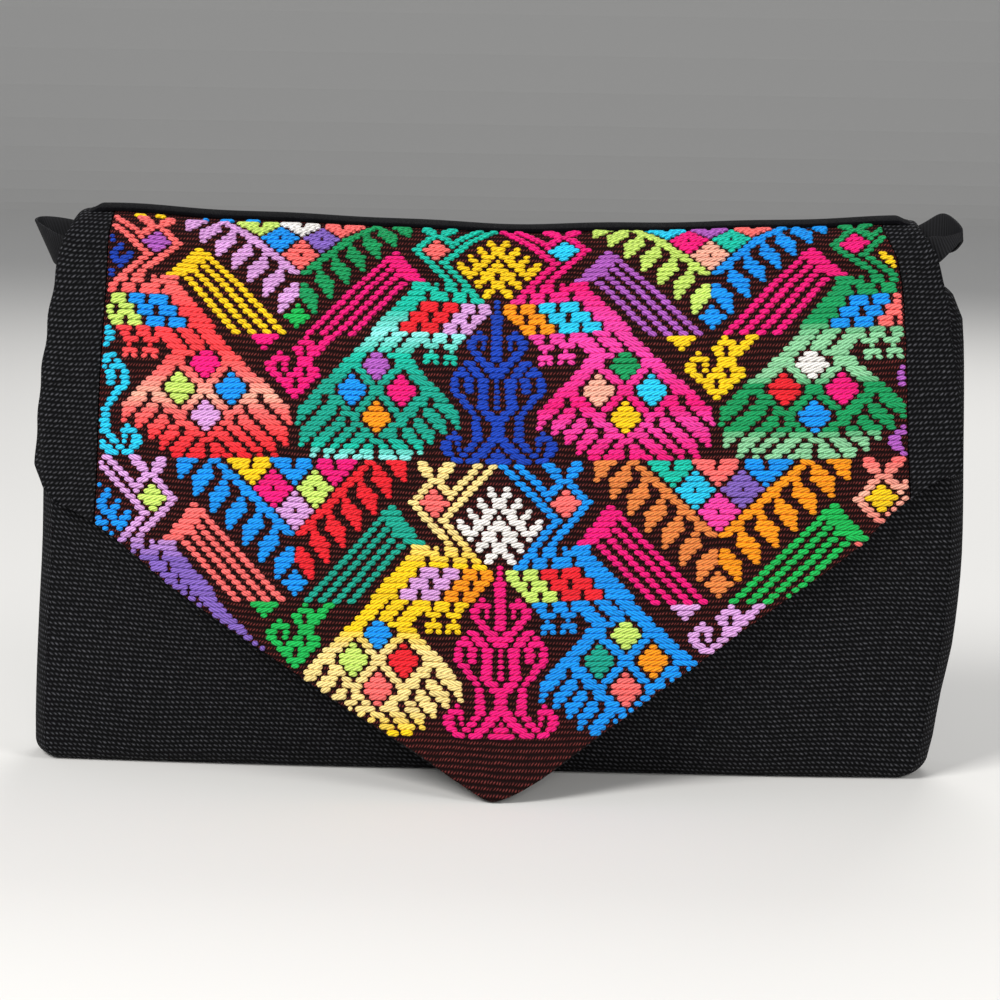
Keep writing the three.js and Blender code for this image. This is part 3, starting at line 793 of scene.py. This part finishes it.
def smooth_line(points, share):
    """A Catmull-Rom curve through points, at shares of the way along."""
    p = np.array([2 * points[0] - points[1], *points, 2 * points[-1] - points[-2]])
    k = np.clip(share * (len(points) - 1), 0, len(points) - 1 - 1e-6)
    i = k.astype(int)
    f = (k - i)[:, None]
    a, b, c, d = p[i], p[i + 1], p[i + 2], p[i + 3]
    return 0.5 * (2 * b + (c - a) * f + (2 * a - 5 * b + 4 * c - d) * f**2 + (3 * b - a - 3 * c + d) * f**3)


def ribbon_loop(table):
    rows = np.array(words(table)[1:], float)

    def place(u, v):
        top, low = smooth_line(rows[:, :3], u), smooth_line(rows[:, 3:], u)
        return top + (low - top) * v[:, None], np.stack([RIBBON_WIDTH * v, RIBBON_LENGTH * u], -1)

    return place


for name, table in (("left", LEFT_RIBBON), ("right", RIGHT_RIBBON)):
    cloth_piece(
        f"{name}_ribbon_loop", ribbon_loop(table), 48, 8, RIBBON_CLOTH, [f"ribbon_loop_{name}"],
        grosgrain,
    )

# %% [markdown]
# ## The brocade's chart
# A weaver of this cloth counts warp threads and rows. The pattern repeats: one chart, half a unit
# wide, is woven forwards and then mirrored, again and again across the cloth, and the second band
# repeats the first with other yarns. So each motif is charted here once, as a weaver would write it
# down. A line is a row, counted downwards, and then each float of that row: the warp thread at its
# middle and how many warp threads it passes over. Threads are counted from the tree's middle.

# %% Chart of the motifs that lie on the tree's line and are mirrored about it
STAR = """
4 3.2/2.3
5 2.8/3.4
6 0/5.3 7.4/2.1
7 0/5 6.6/3.9
8 3.7/5.4 11.3/2
9 0/1 4.8/3.8 10.2/3.6
10 0/4.3 7.2/5.9 15.2/2.6
11 0/8.4 8.5/3.6 14/4.5
12 4.1/5.5 11.5/6
13 4/5.4 11.5/2
14 0/5.2 6.9/4.5
15 0/5.2 8/2.3
16 3.3/4.1
17 4.5/3.1
"""
TREE = """
18 0/2
19 0/2
20 0/2
21 0/4.6
22 0/4.2
23 0/4.2
24 0/4 6.9/2
25 0/4 7/6.4
26 0/4 5.2/1.2 10.1/3.8
27 0/4.2 5.2/1.4 10.1/3.4
28 0/4.2 8.1/3.9
29 0/4 6.5/4
30 3.8/5 10.8/4.5
31 0/9.7 8.9/4.6 14/2.5
32 0/5.4 7.4/4.3 14.1/5.9
33 0/1.3 5.3/4.3 11/3.4 16.8/2.7
34 0/1.3 5.3/4.3 11.3/3.7 16.7/3.4
35 0/1.8 5.2/3.6 11/3 16.8/3
36 0/2 5.4/4 14.8/4.5
37 0/2 5.6/4 13.1/3.4
38 0/2.2 5.7/4.5 11.4/3.8
39 3.8/5 9.8/2.6
40 0/9 8.4/3.1
41 0/4.7 8.4/3.2
42 0/4.9 8.2/3.6
43 0/4.9 8.1/3.7 17.1/1.6
44 0/8.2 8/4 17.4/5.9
45 3.5/5 10/3.3 15.6/1.9 20.4/3.8
46 0/1.1 5.2/5 11.5/3.5 15.5/1.2 20.5/4.3
47 0/5.2 7.5/5.4 13.6/3 19.3/3.7
48 0/9.8 9.9/5.3 16.5/4.5
"""

# %% Chart of the bird: beak and neck, shoulders and legs, then wings and tail
BIRD = """
0 2.1/3.2 8/3.6 19.5/4.5 29.8/3.7
1 4.3/3.6 10.2/3.6 20.8/5.5 29/5.6
2 6.3/3.6 12.2/3.6 22/4 28.2/4
3 8.4/3.6 14.3/3.6 24.8/6
4 10.4/3.6 16.2/3.4 22/4.3 28.3/3.8
5 12.4/3.6 19.3/5.7 30/3.6
6 14.4/3.6 19.1/2 31.8/3.6
7 16.3/3.6 33.8/3.8
8 18.3/3.8 32.3/3.3
9 20.2/3.6 30.4/3.6
10 22.1/3.8 28.5/4
11 20.2/3.6 26.3/3.8
12 18.3/3.8 24.3/4.3
13 16.4/3.6 22.3/3.8
14 14.5/3.8 20.3/3.2
15 12.8/3.2 19.1/4.8 25/1.5 31.4/6.9
16 11.9/5.2 19.1/4.8 29.6/10.6
17 9.4/3.4 15.5/5 24/7 33.4/6.8
18 8/5.3 15.5/5.3 23.8/7.3 34.2/9.8
19 37/8.2
20 38.1/10
21 41/9
22 41.9/10.7
23 45/8.6
24 45.8/10.4
25 15.3/5.5 23/5.4 31/6.4 39.6/6.3 47.9/6.8
26 16/3.4 23.2/5.5 32/8.8 41.8/6.7 50/7.5
27 18.6/5.4 26.4/5.6 34.7/7 43.8/6.8 52/7.1
28 18.3/1.2 26.2/1.2 36.8/7.3 45.2/5.4 54/7.7
29 18.5/5.2 26.5/6 39.6/8.9 56.4/6.4
30 16.8/2 20.4/1.8 24.2/1.8 28.2/2.4 36.8/7.5 58.7/7.5
31 36.2/8.6 59.5/9.1
32 32.8/6.4 40.9/4.8 55.2/4.1 62.7/7
33 31.4/7.1 43.3/4.5 53/4.1 64.7/7.3
34 29.2/7.5 45.2/4.5 51.5/4.4 67.4/7.9
35 26.9/7.4 48.3/5.6 69.6/7.1
36 25.9/9.1 48.3/6 70.9/8.8
37 22.3/5.7 30.4/5.5 45.1/4 51.3/4 66/5 74.3/5.2
38 21.5/7.5 31.5/7.3 43.2/4 53.3/4.2 65.5/6.8 75.3/7.1
39 19.2/7.5 27.3/4.1 34.3/5.4 41.3/4 55.2/4.1 61.3/3.4 68.3/6 77.6/7.5
40 17.9/5.2 26.2/6.3 36.6/8.6 59.4/7.6 69.5/7.7 78.7/5.4
41 16.7/3 24.2/7 31.5/3.3 38.1/4.6 57.6/3.2 63.4/3.8 71.9/8.2 80.1/3.6
42 15.8/2 22.9/5 30.8/5.4 39.9/6.8 56.6/5 64.2/5.4 73.9/7.9 81.5/2
43 21.6/2.7 28.4/6.8 35.5/3.9 43/5 53.4/3.2 59.5/4.8 66.8/5.9 76.2/8.2
44 27.7/4.5 35/5.3 44/7.4 53.5/7.6 61.6/4.5 69.2/5.7 77.4/6.8
45 26.6/2.1 32.8/5.7 40.5/5.6 48.4/5.4 56.5/5.5 63.9/4.6 71.3/6.2 78.7/3.9
46 31.7/3.4 38.9/5.8 45.6/3.4 51.8/3.8 59/6.2 66/3.6 73/5.4 79.9/2
47 30.8/1.9 37/6 44.8/5.6 52.7/5.2 60.7/5.9 68.5/4.3 74.2/3.6
48 36.7/4.2 44/7.4 52/3.8 56.4/3.9 63.4/5.5 69.5/2 75.3/2.5
"""
CHECKS_NEAR = """
19 5.1/4.4 11.9/5.2
20 4.9/4.5 11.8/5.4
21 7.3/5.7 15.2/5.7
22 8.3/3.8 15.3/5.9
23 11.5/5.7 19.1/5.1
24 12.4/4.4 19.2/5.2
"""
CHECKS_FAR = """
19 19.2/5.9 27.7/6.8
20 19.2/5.9 27.7/6.8
21 23/6 31.8/6.8
22 23/6 31.8/6.8
23 27.3/6.8 36/6.4
24 27.3/6.8 36/6.4
"""

# %% Chart of the comb, the feather arc and the cut diamonds along the band's top
COMB_SLABS = """
8 42.5/3
9 43/7.7
10 41.3/7.2
11 40.5/8.6
12 37.9/8.2
13 37.7/10
14 34/8
"""
SPINE = """
0 40.5/8 51.3/4.6
1 39.3/5.7 54.3/4
2 38.8/4.3 56.3/4
3 37.6/2 57.7/6.8
4 60.9/4.5
5 63.3/4.6
6 64.6/5.9
7 67.3/4.5
8 69.6/4.3
9 70.9/6.6
10 73.8/4.6
11 76.4/4.3
12 77.5/6.3
13 80.6/4.6
"""
CUT_DIAMOND = """
0 -5.3/8.4 4/6
1 -4.5/6.4 3.9/6.6
2 0/10.7
3 0/6
4 0/1.8
"""
HOOK = """
26 -12.3/10.4 4.5/1.8 14.3/4.3
27 -12.2/5.9 4.6/6.4 12/4.3
28 -12.4/2.1 1.2/4.1 9/7.3
29 -6/1.8 1.8/3.2 7.9/5
30 -5.6/7 4.7/6.3
31 -9.2/4.1 -3.5/2.3 4.6/6.4
32 -9.1/3.9 -3.6/2.1 1.4/3.6 8/5
33 -7/4.3 0.4/6.4 8.1/5.2
34 -3.6/6.5 5.2/6.8
35 -2.7/3.9 3.9/4.6
36 0.6/7
37 0.4/2.5
"""


# %% Read the charts, and add what a rule can draw
WIDEST_FLOAT, HALVES_GAP = 12, 0.4  # threads; a wider row of a diamond is worked in two halves
COMB_TEETH = ((46.7, 10), (45, 12), (43.1, 14), (39, 15))  # first thread and first row of each tooth
COMB_STEP, COMB_WIDTH, COMB_END = 2.05, 3.2, 26  # threads a row, threads, and the row after the last
FEATHER = ((0, 3.1), (-1, 5.7), (-1.9, 8.2), (-2.9, 6), (-3.9, 4.2), (-4.8, 2.2))  # shifts and widths


def read_chart(chart):
    """A chart's floats, each as its row, middle thread and width in threads."""
    return [(int(row), *map(float, item.split("/"))) for row, *items in words(chart) for item in items]


def diamond(middle, top, widths):
    floats = []
    for row, width in enumerate(widths, start=top):
        if width > WIDEST_FLOAT:
            aside, half = width / 4, width / 2 - 2 * HALVES_GAP
            floats += [(row, middle - aside - HALVES_GAP, half), (row, middle + aside + HALVES_GAP, half)]
        else:
            floats.append((row, middle, width))
    return floats


LARGE_DIAMOND = [2.3, 6.4, 10.5, 15, 10.7, 6.8, 2.3]
EYE_DIAMOND = [2.6, 6.6, 11.4, 7, 3]
BODY_DIAMOND = [2.4, 5.8, 10.8, 10.8, 6.6, 2.8]
SMALL_DIAMOND = [1.6, 5, 10.5, 5.7, 1.6]
TOP_DIAMOND = [4.6, 9, 11.2, 7.3, 3.2]
comb = read_chart(COMB_SLABS)
for start, first in COMB_TEETH:
    comb += [(row, start + COMB_STEP * (row - first), COMB_WIDTH) for row in range(first, COMB_END)]
feathers = read_chart(SPINE)
for k in range(6):
    for step, (shift, width) in enumerate(FEATHER):
        feathers.append((1 + 3 * k + step, 48.4 + 6.55 * k + shift, width))
bird, star, tree_chart, cut_diamond = (read_chart(chart) for chart in (BIRD, STAR, TREE, CUT_DIAMOND))
print("floats in a half unit's bird, comb and feathers:", len(bird), len(comb), len(feathers))

# %% [markdown]
# ## Yarns
# The yarns are soft acrylic. Most are in one bright colour, and the weaver changes yarn from motif to
# motif, so a table gives each half unit its yarns, from the left edge of the flap to the right one.
# The birds are woven in shaded yarns, which run from tint to tint down their rows.

# %% Yarn colours and where each is used
YARNS = {
    "cerise": "#f5087a",
    "pink": "#fb3fa6",
    "lilac": "#dda2de",
    "orchid": "#b45cc0",
    "violet": "#8462bd",
    "royal": "#0b3fb4",
    "sky": "#0496f2",
    "cyan": "#22cdf2",
    "turquoise": "#08c4a8",
    "pine": "#0ba58c",
    "emerald": "#089a58",
    "green": "#0fba52",
    "sage": "#8dcf9b",
    "lime": "#cdea6c",
    "yellow": "#ffd20a",
    "cream": "#ffe291",
    "amber": "#ff9a08",
    "rust": "#e8853f",
    "red": "#f01c2a",
    "coral": "#ff3f45",
    "salmon": "#ff6f6b",
    "peach": "#f9b49b",
    "aqua": "#8ff0e8",
    "white": "#f4efe9",
}
BIRD_SHADES = """
0 -2 0/salmon 16/salmon 21/coral 28/coral 33/salmon 37/peach 40/salmon 44/coral 48/red
0 -1 0/turquoise 20/turquoise 25/aqua 29/turquoise 34/pine 44/pine 46/turquoise 48/aqua
0 0 0/cerise 16/cerise 22/pink 30/pink 38/cerise 42/pink 48/cerise
0 1 0/emerald 23/emerald 26/sage 33/sage 35/emerald 43/emerald 45/sage 48/sage
1 -2 0/lilac 13/lilac 18/violet 48/violet
1 -1 0/cream 12/cream 18/yellow 30/yellow 34/cream 44/cream 48/yellow
1 0 0/sky 48/sky
1 1 0/salmon 6/peach 14/salmon 48/salmon
"""
HALF_UNITS = """
band place eye    near   far    top     inner  outer  low    comb   feather   cut       large
0    -2    orchid lime   sky    cerise  lime   sky    lilac  yellow lilac     lime      sky
0    -1    salmon lilac  red    orchid  cerise sky    amber  cerise emerald   salmon    violet
0    0     cyan   amber  cyan   emerald peach  cyan   yellow orchid lime      cyan      cerise
0    1     cerise salmon sky    white   cerise red    sky    cerise sky       salmon    turquoise
1    -2    lime   sky    violet sky     sky    violet violet salmon sky       yellow    cerise
1    -1    salmon amber  lilac  sky     red    lime   salmon pine   red       cerise    lime
1    0     salmon lime   red    lime    pine   amber  salmon cerise rust      turquoise cyan
1    1     yellow red    lime   lime    sky    cyan   lime   green  amber     sky       violet
"""
LINES = """
band place star   tree   cut    large  small hook
0    -2    royal  cyan   none   none   none  none
0    -1    none   none   white  salmon green cerise
0    0     yellow royal  none   none   none  none
0    1     none   none   orchid peach  sky   yellow
0    2     yellow orchid none   none   none  none
1    -2    sky    lilac  none   none   none  none
1    -1    none   none   sky    lilac  sky   green
1    0     white  cerise none   none   none  none
1    1     none   none   salmon pink   rust  lilac
1    2     none   none   none   none   none  none
"""
# The row above the chart shows at the fold in two places.
ABOVE = {"yellow": "-1 -148.5/4.6 -140.5/4", "sky": "-1 -122.5/2 -114/5.2 -103.5/5.4"}
HALF = 83.2  # threads in half a unit
BAND_ROWS = 49


def named_rows(table):
    names, *rows = words(table)
    return [dict(zip(names, row)) for row in rows]


shades = {yarn: [(0, linear(code))] for yarn, code in YARNS.items()}
for band, place, *steps in words(BIRD_SHADES):
    steps = [step.split("/") for step in steps]
    shades[f"bird_{band}_{place}"] = [(int(row), linear(YARNS[yarn])) for row, yarn in steps]
print("yarns:", len(YARNS), "and shaded birds:", len(shades) - len(YARNS))

# %% Lay the charts out over the flap
NEIGHBOUR = 4.2  # a float of the next row counts as the same motif within this many threads
floats = {yarn: [] for yarn in shades}


def drift_of(chart):
    """How many threads to the right each float steps in a row, where the rows above and below agree."""
    steps = []
    for row, middle, _ in chart:
        near = []
        for way in (-1, 1):
            gaps = [m - middle for r, m, _ in chart if r == row + way and abs(m - middle) < NEIGHBOUR]
            near += [way * min(gaps, key=abs)] if gaps else []
        agree = near and min(near) * max(near) > 0
        steps.append(min(near, key=abs) if agree else 0.0)
    return steps


def lay(yarn, chart, line, side, band):
    """Adds a chart's floats, counted from a line across the cloth, forwards or mirrored."""
    if yarn != "none":
        floats[yarn] += [
            (band * BAND_ROWS + row, line + side * middle, width, side * drift)
            for (row, middle, width), drift in zip(chart, drift_of(chart))
        ]


HALF_UNIT_CHARTS = {
    "eye": diamond(25.6, 5, EYE_DIAMOND),
    "near": read_chart(CHECKS_NEAR),
    "far": read_chart(CHECKS_FAR),
    "top": diamond(48.5, 29, TOP_DIAMOND),
    "inner": diamond(38.2, 33, BODY_DIAMOND),
    "outer": diamond(58.7, 33, BODY_DIAMOND),
    "low": diamond(48.5, 38, BODY_DIAMOND),
    "comb": comb,
    "feather": feathers,
    "cut": [(row, 66.3 + middle, width) for row, middle, width in cut_diamond],
    "large": diamond(74.6, 2, LARGE_DIAMOND),
}
LINE_CHARTS = {
    "cut": cut_diamond,
    "large": diamond(0, 6, LARGE_DIAMOND),
    "small": diamond(0, 20, SMALL_DIAMOND),
    "hook": read_chart(HOOK),
}
for unit in named_rows(HALF_UNITS):
    band, place = int(unit["band"]), int(unit["place"])
    line, side = (place * HALF, 1) if place % 2 == 0 else ((place + 1) * HALF, -1)
    lay(f"bird_{band}_{place}", bird, line, side, band)
    for name, chart in HALF_UNIT_CHARTS.items():
        lay(unit[name], chart, line, side, band)
for unit in named_rows(LINES):
    band, line = int(unit["band"]), int(unit["place"]) * HALF
    for name, chart in (("star", star), ("tree", tree_chart)):
        lay(unit[name], chart, line, 1, band)
        lay(unit[name], [f for f in chart if f[1] > 0], line, -1, band)
    for name, chart in LINE_CHARTS.items():
        lay(unit[name], chart, line, 1, band)
for yarn, chart in ABOVE.items():
    lay(yarn, read_chart(chart), 0, 1, 0)
print("floats laid:", sum(len(f) for f in floats.values()))

# %% [markdown]
# ## Where a thread and a row lie
# Hand weaving isn't square: the warp leans, and the rows are beaten closer in some places. One
# short table says where seven warp threads lie at four distances from the fold's crest, and another
# where some of the rows lie. Everything between is read from them.

# %% From threads and rows to millimetres on the flap
WARP = """
down  -123.6 -83.2 -42.4 0    42.4 83.2 123.6
15    -91    -60.1 -31.3 -0.4 33   64   94.5
50    -92.2  -60.8 -31.6 0.1  34.1 65.4 99.5
93    -89.7  -59.1 -30.1 2    35.1 67.4 101.7
160   -88.5  -58.6 -28.6 3.9  36.5 68.5 103
"""
ROWS = """
row down
0   5.5
5   10.8
8   14.8
10  17.2
16  25.3
24  38.6
36  58.8
49  79.8
68  111.6
85  140
97  160.8
"""
ROW_LEAN = 0.022  # rows climb this much to the right

warp_names, *warp_rows = words(WARP)
warp_threads = np.array(warp_names[1:], float)
warp_table = np.array(warp_rows, float)
row_table = np.array(words(ROWS)[1:], float)


def read_table(at, x, y):
    """Linear between the table's places, and on past its ends with the same slope."""
    inside = np.interp(at, x, y)
    before = (at - x[0]) * (y[1] - y[0]) / (x[1] - x[0])
    after = (at - x[-1]) * (y[-1] - y[-2]) / (x[-1] - x[-2])
    return inside + np.where(at < x[0], before, 0) + np.where(at > x[-1], after, 0)


def on_cloth(thread, row):
    """Millimetres to the right of the middle, and down from the fold's crest."""
    down = read_table(row, row_table[:, 0], row_table[:, 1])
    places = np.array([read_table(thread, warp_threads, line[1:]) for line in warp_table])
    k = np.clip(np.searchsorted(warp_table[:, 0], down) - 1, 0, len(warp_table) - 2)
    low, high = warp_table[k, 0], warp_table[k + 1, 0]
    t = np.clip((down - low) / (high - low), 0, 1)
    i = np.arange(len(thread))
    x = places[k, i] * (1 - t) + places[k + 1, i] * t
    return x, down - ROW_LEAN * np.clip(x, -130, 60)


middle_line = on_cloth(np.zeros(3), np.array([0.0, 48.0, 97.0]))
print("the tree's line, mm right and down:", [[round(float(v), 1) for v in part] for part in middle_line])

# %% Lengths along the brocade, measured down 53 lines from the fold's crest
PROBE_X = np.linspace(-130, 130, 53)
PROBE_BELOW = np.linspace(-14.1, 165, 900)
arc_table = []
for x in PROBE_X:
    across = across_of(np.full_like(PROBE_BELOW, x), PROBE_BELOW)
    probe = flap_layer(across, PROBE_BELOW, np.full_like(PROBE_BELOW, FACE_OUTSIDE))
    lengths = np.linalg.norm(np.diff(probe, axis=0), axis=1)
    arc_table.append(np.concatenate([[0], np.cumsum(lengths)]))


def below_fold(x, down):
    """Turns a length along the cloth, from the fold's crest, into millimetres below the fold."""
    k = np.clip((x - PROBE_X[0]) / (PROBE_X[1] - PROBE_X[0]), 0, len(PROBE_X) - 1.001)
    left = k.astype(int)
    share = k - left
    below = np.zeros_like(x)
    for column in np.unique(left):
        here = left == column
        a = np.interp(down[here], arc_table[column], PROBE_BELOW)
        b = np.interp(down[here], arc_table[column + 1], PROBE_BELOW)
        below[here] = a * (1 - share[here]) + b * share[here]
    return below


print("the middle line's whole length, mm:", round(float(arc_table[26][-1]), 1))

# %% [markdown]
# ### A float of yarn
# Each float is a soft, plump bead of yarn that dives into the cloth at both ends. It starts as a
# sphere of few faces, flattened below. A long float is the same bead with its two halves pulled
# apart. All the floats of one yarn, or of one bird, are one mesh, because there are thousands of
# them. The mesh keeps a map along and across the strands, the colour of the dye, which in a bird
# runs from tint to tint, and a random shade for each float, since no two catch the light alike.

# %% One bead of yarn
bead = bmesh.new()
bmesh.ops.create_uvsphere(bead, u_segments=12, v_segments=7, radius=1)
bmesh.ops.rotate(bead, verts=bead.verts, matrix=Matrix.Rotation(math.radians(15), 3, "Z"))
bead_points = np.array([v.co for v in bead.verts])
bead_faces = [[v.index for v in face.verts] for face in bead.faces]
bead.free()
bead_triangles = sum(len(face) - 2 for face in bead_faces)
print("a bead:", len(bead_faces), "faces,", bead_triangles, "triangles")

# %% Keep the floats on the brocade
SEAM_MARGIN, HEM_MARGIN = 0.8, 0.4  # floats end this far inside the borders and the lower edge, mm
SHORTEST_FLOAT = 0.9  # threads
PROBES = 17  # places along a float that are tried


def room_on_brocade(x, down):
    """How many mm of room a place has to the margins at the brocade's edges."""
    below = below_fold(x, down)
    across = across_of(x, below)
    drop, _, z = flap_drop(across, below)
    lowest = HEIGHT * edge["height"](across)
    seam = WIDTH / 2 * np.where(x < 0, flap["seamLeft"](drop), flap["seamRight"](drop))
    return np.minimum(z - lowest - HEM_MARGIN, seam - np.abs(x) - SEAM_MARGIN)


def trimmed(rows, middles, widths, drifts):
    """Shortens each float to the part that lies on the brocade, and drops what is left too short."""
    probes = np.linspace(-0.5, 0.5, PROBES)
    threads = (middles[:, None] + widths[:, None] * probes).ravel()
    x, down = on_cloth(threads, np.repeat(rows, PROBES))
    on = room_on_brocade(x, down).reshape(-1, PROBES) > 0
    first, last = on.argmax(1), PROBES - 1 - on[:, ::-1].argmax(1)
    start = middles + widths * probes[first]
    stop = middles + widths * probes[last]
    keep = on.any(1) & (stop - start > SHORTEST_FLOAT)
    return rows[keep], ((start + stop) / 2)[keep], (stop - start)[keep], drifts[keep]


whole = np.array(floats["cerise"], float)
print("cerise floats charted and kept:", len(whole), len(trimmed(*whole.T)[0]))

# %% Beads of yarn laid as floats
THREAD, ROW = 0.778, 1.68  # mm between warp threads and between rows
PLUMP = 0.95  # height of a bead above the ground, mm
TUCK = 0.34  # each end of a float runs on into the cloth by this much, mm
ROUNDED_END = 1.2  # the longest rounded end of a bead, mm
LEAN_A_THREAD = 7.5  # degrees that a float leans for each thread that its motif steps in a row
chance = np.random.default_rng(7)


def yarn_mesh(name, laid, shade_steps, material):
    rows, middles, widths, drifts = trimmed(*np.array(laid, float).T)
    count, points = len(rows), len(bead_points)
    half_long = (widths * THREAD / 2 + TUCK) * chance.uniform(0.97, 1.05, count)
    cap = np.minimum(half_long, ROUNDED_END)
    straight = half_long - cap
    half_wide = ROW / 2 * chance.uniform(1.04, 1.2, count) * np.interp(widths, [2, 4.5], [0.84, 1])
    px, py, pz = bead_points.T
    long = px * cap[:, None] + np.sign(px) * straight[:, None]
    wide = py * half_wide[:, None]
    follow = np.clip(drifts, -2.2, 2.2) * LEAN_A_THREAD
    lean = -np.radians(follow + chance.normal(0, 3, count))[:, None] / (1 + 0.9 * straight[:, None])
    along = long * np.cos(lean) - wide * np.sin(lean)
    side = long * np.sin(lean) + wide * np.cos(lean)
    height = np.where(pz > 0, pz, 0.25 * pz) * (PLUMP * chance.uniform(0.88, 1.1, count))[:, None]
    shift = chance.normal(0, 0.12, (2, count))
    threads = (middles + shift[0])[:, None] + along / THREAD
    at_rows = (rows + 0.4 * shift[1])[:, None] - side / ROW
    x, down = on_cloth(threads.ravel(), at_rows.ravel())
    below = below_fold(x, down)
    lift = FACE_OUTSIDE + height.ravel()
    placed = flap_layer(across_of(x, below), below, lift) / 1000
    yarn = bpy.data.meshes.new(name)
    faces = [[i + points * k for i in face] for k in range(count) for face in bead_faces]
    yarn.from_pydata(placed.tolist(), [], faces)
    loops = np.zeros(len(yarn.loops), np.int32)
    yarn.loops.foreach_get("vertex_index", loops)
    twist = np.where(drifts > 1.3, -1, 1)[:, None]  # the strands slant with the motif too
    strands = np.stack([(twist * long + 7.3 * rows[:, None]).ravel(), wide.ravel()], -1)
    yarn.uv_layers.new(name="strands").data.foreach_set("uv", strands[loops].ravel())
    step_rows, tints = zip(*shade_steps)
    band_rows = rows % BAND_ROWS if len(step_rows) > 1 else rows
    dyes = np.stack([np.interp(band_rows, step_rows, channel) for channel in np.array(tints).T], -1)
    dye = yarn.attributes.new("dye", "FLOAT_COLOR", "POINT")
    dye.data.foreach_set("color", np.repeat(dyes, points, axis=0).astype(np.float32).ravel())
    shade = yarn.attributes.new("shade", "FLOAT", "POINT")
    shade.data.foreach_set("value", np.repeat(chance.random(count), points).astype(np.float32))
    yarn.shade_smooth()
    yarn.materials.append(material)
    piece = bpy.data.objects.new(name, yarn)
    bpy.context.collection.objects.link(piece)
    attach(piece, "root")
    print(f"{name}: {count} floats, {count * bead_triangles} triangles")


# %% [markdown]
# ### The yarn's finish
# The yarn is soft spun acrylic in bright dyes, of strands twisted together. The eye sees fine slanted
# lines and a soft matt shine. One material serves all the yarns: it reads the dye, the shade and
# the map of the strands that each mesh keeps. The dye is darkened in the hollows between the
# strands as painted shade.

# %% Acrylic yarn
STRAND = 0.85  # mm between strands, drawn a little coarse so that they show

acrylic_yarn, tree, shader = new_material("acrylic_yarn")
strands = add(tree, "ShaderNodeUVMap", uv_map="strands")
slant = add(
    tree, "ShaderNodeMapping", {"Vector": strands.outputs["UV"], "Rotation": (0, 0, math.radians(64))},
)
ply = add(
    tree, "ShaderNodeTexWave",
    {
        "Vector": slant.outputs["Vector"], "Scale": WAVE_PITCH / STRAND,
        "Distortion": 2.0, "Detail": 2.0, "Detail Scale": 1.6,
    },
    wave_type="BANDS", bands_direction="X",
)
dye = add(tree, "ShaderNodeAttribute", attribute_name="dye", attribute_type="GEOMETRY")
shade = add(tree, "ShaderNodeAttribute", attribute_name="shade", attribute_type="GEOMETRY")
# Painted shade: the dye darkens to half in the hollows between strands, where the relief dips.
painted_strand_shade = add(
    tree, "ShaderNodeMapRange", {"Value": ply.outputs["Fac"], "From Max": 0.55, "To Min": 0.5, "To Max": 1.0},
)
paler = add(tree, "ShaderNodeMapRange", {"Value": shade.outputs["Fac"], "To Min": 0.86, "To Max": 1.04})
light = add(
    tree, "ShaderNodeMath", {0: painted_strand_shade.outputs["Result"], 1: paler.outputs["Result"]},
    operation="MULTIPLY",
)
# The dye with the painted shade of the strand hollows and each float's random shade.
dye_with_painted_shade = add(tree, "ShaderNodeHueSaturation", {"Color": dye.outputs["Color"], "Value": light.outputs[0]})
relief = add(tree, "ShaderNodeBump", {"Height": ply.outputs["Fac"], "Strength": 0.8, "Distance": 0.0004})
tree.links.new(dye_with_painted_shade.outputs["Color"], shader.inputs["Base Color"])
tree.links.new(relief.outputs["Normal"], shader.inputs["Normal"])
shader.inputs["Roughness"].default_value = 0.6
shader.inputs["Specular IOR Level"].default_value = 0.2
shader.inputs["Sheen Weight"].default_value = 0.04
shader.inputs["Sheen Roughness"].default_value = 0.5
print("yarn nodes:", len(tree.nodes))

# %% All the floats
for name, laid in floats.items():
    if laid:
        yarn_mesh("floats_" + name, laid, shades[name], acrylic_yarn)
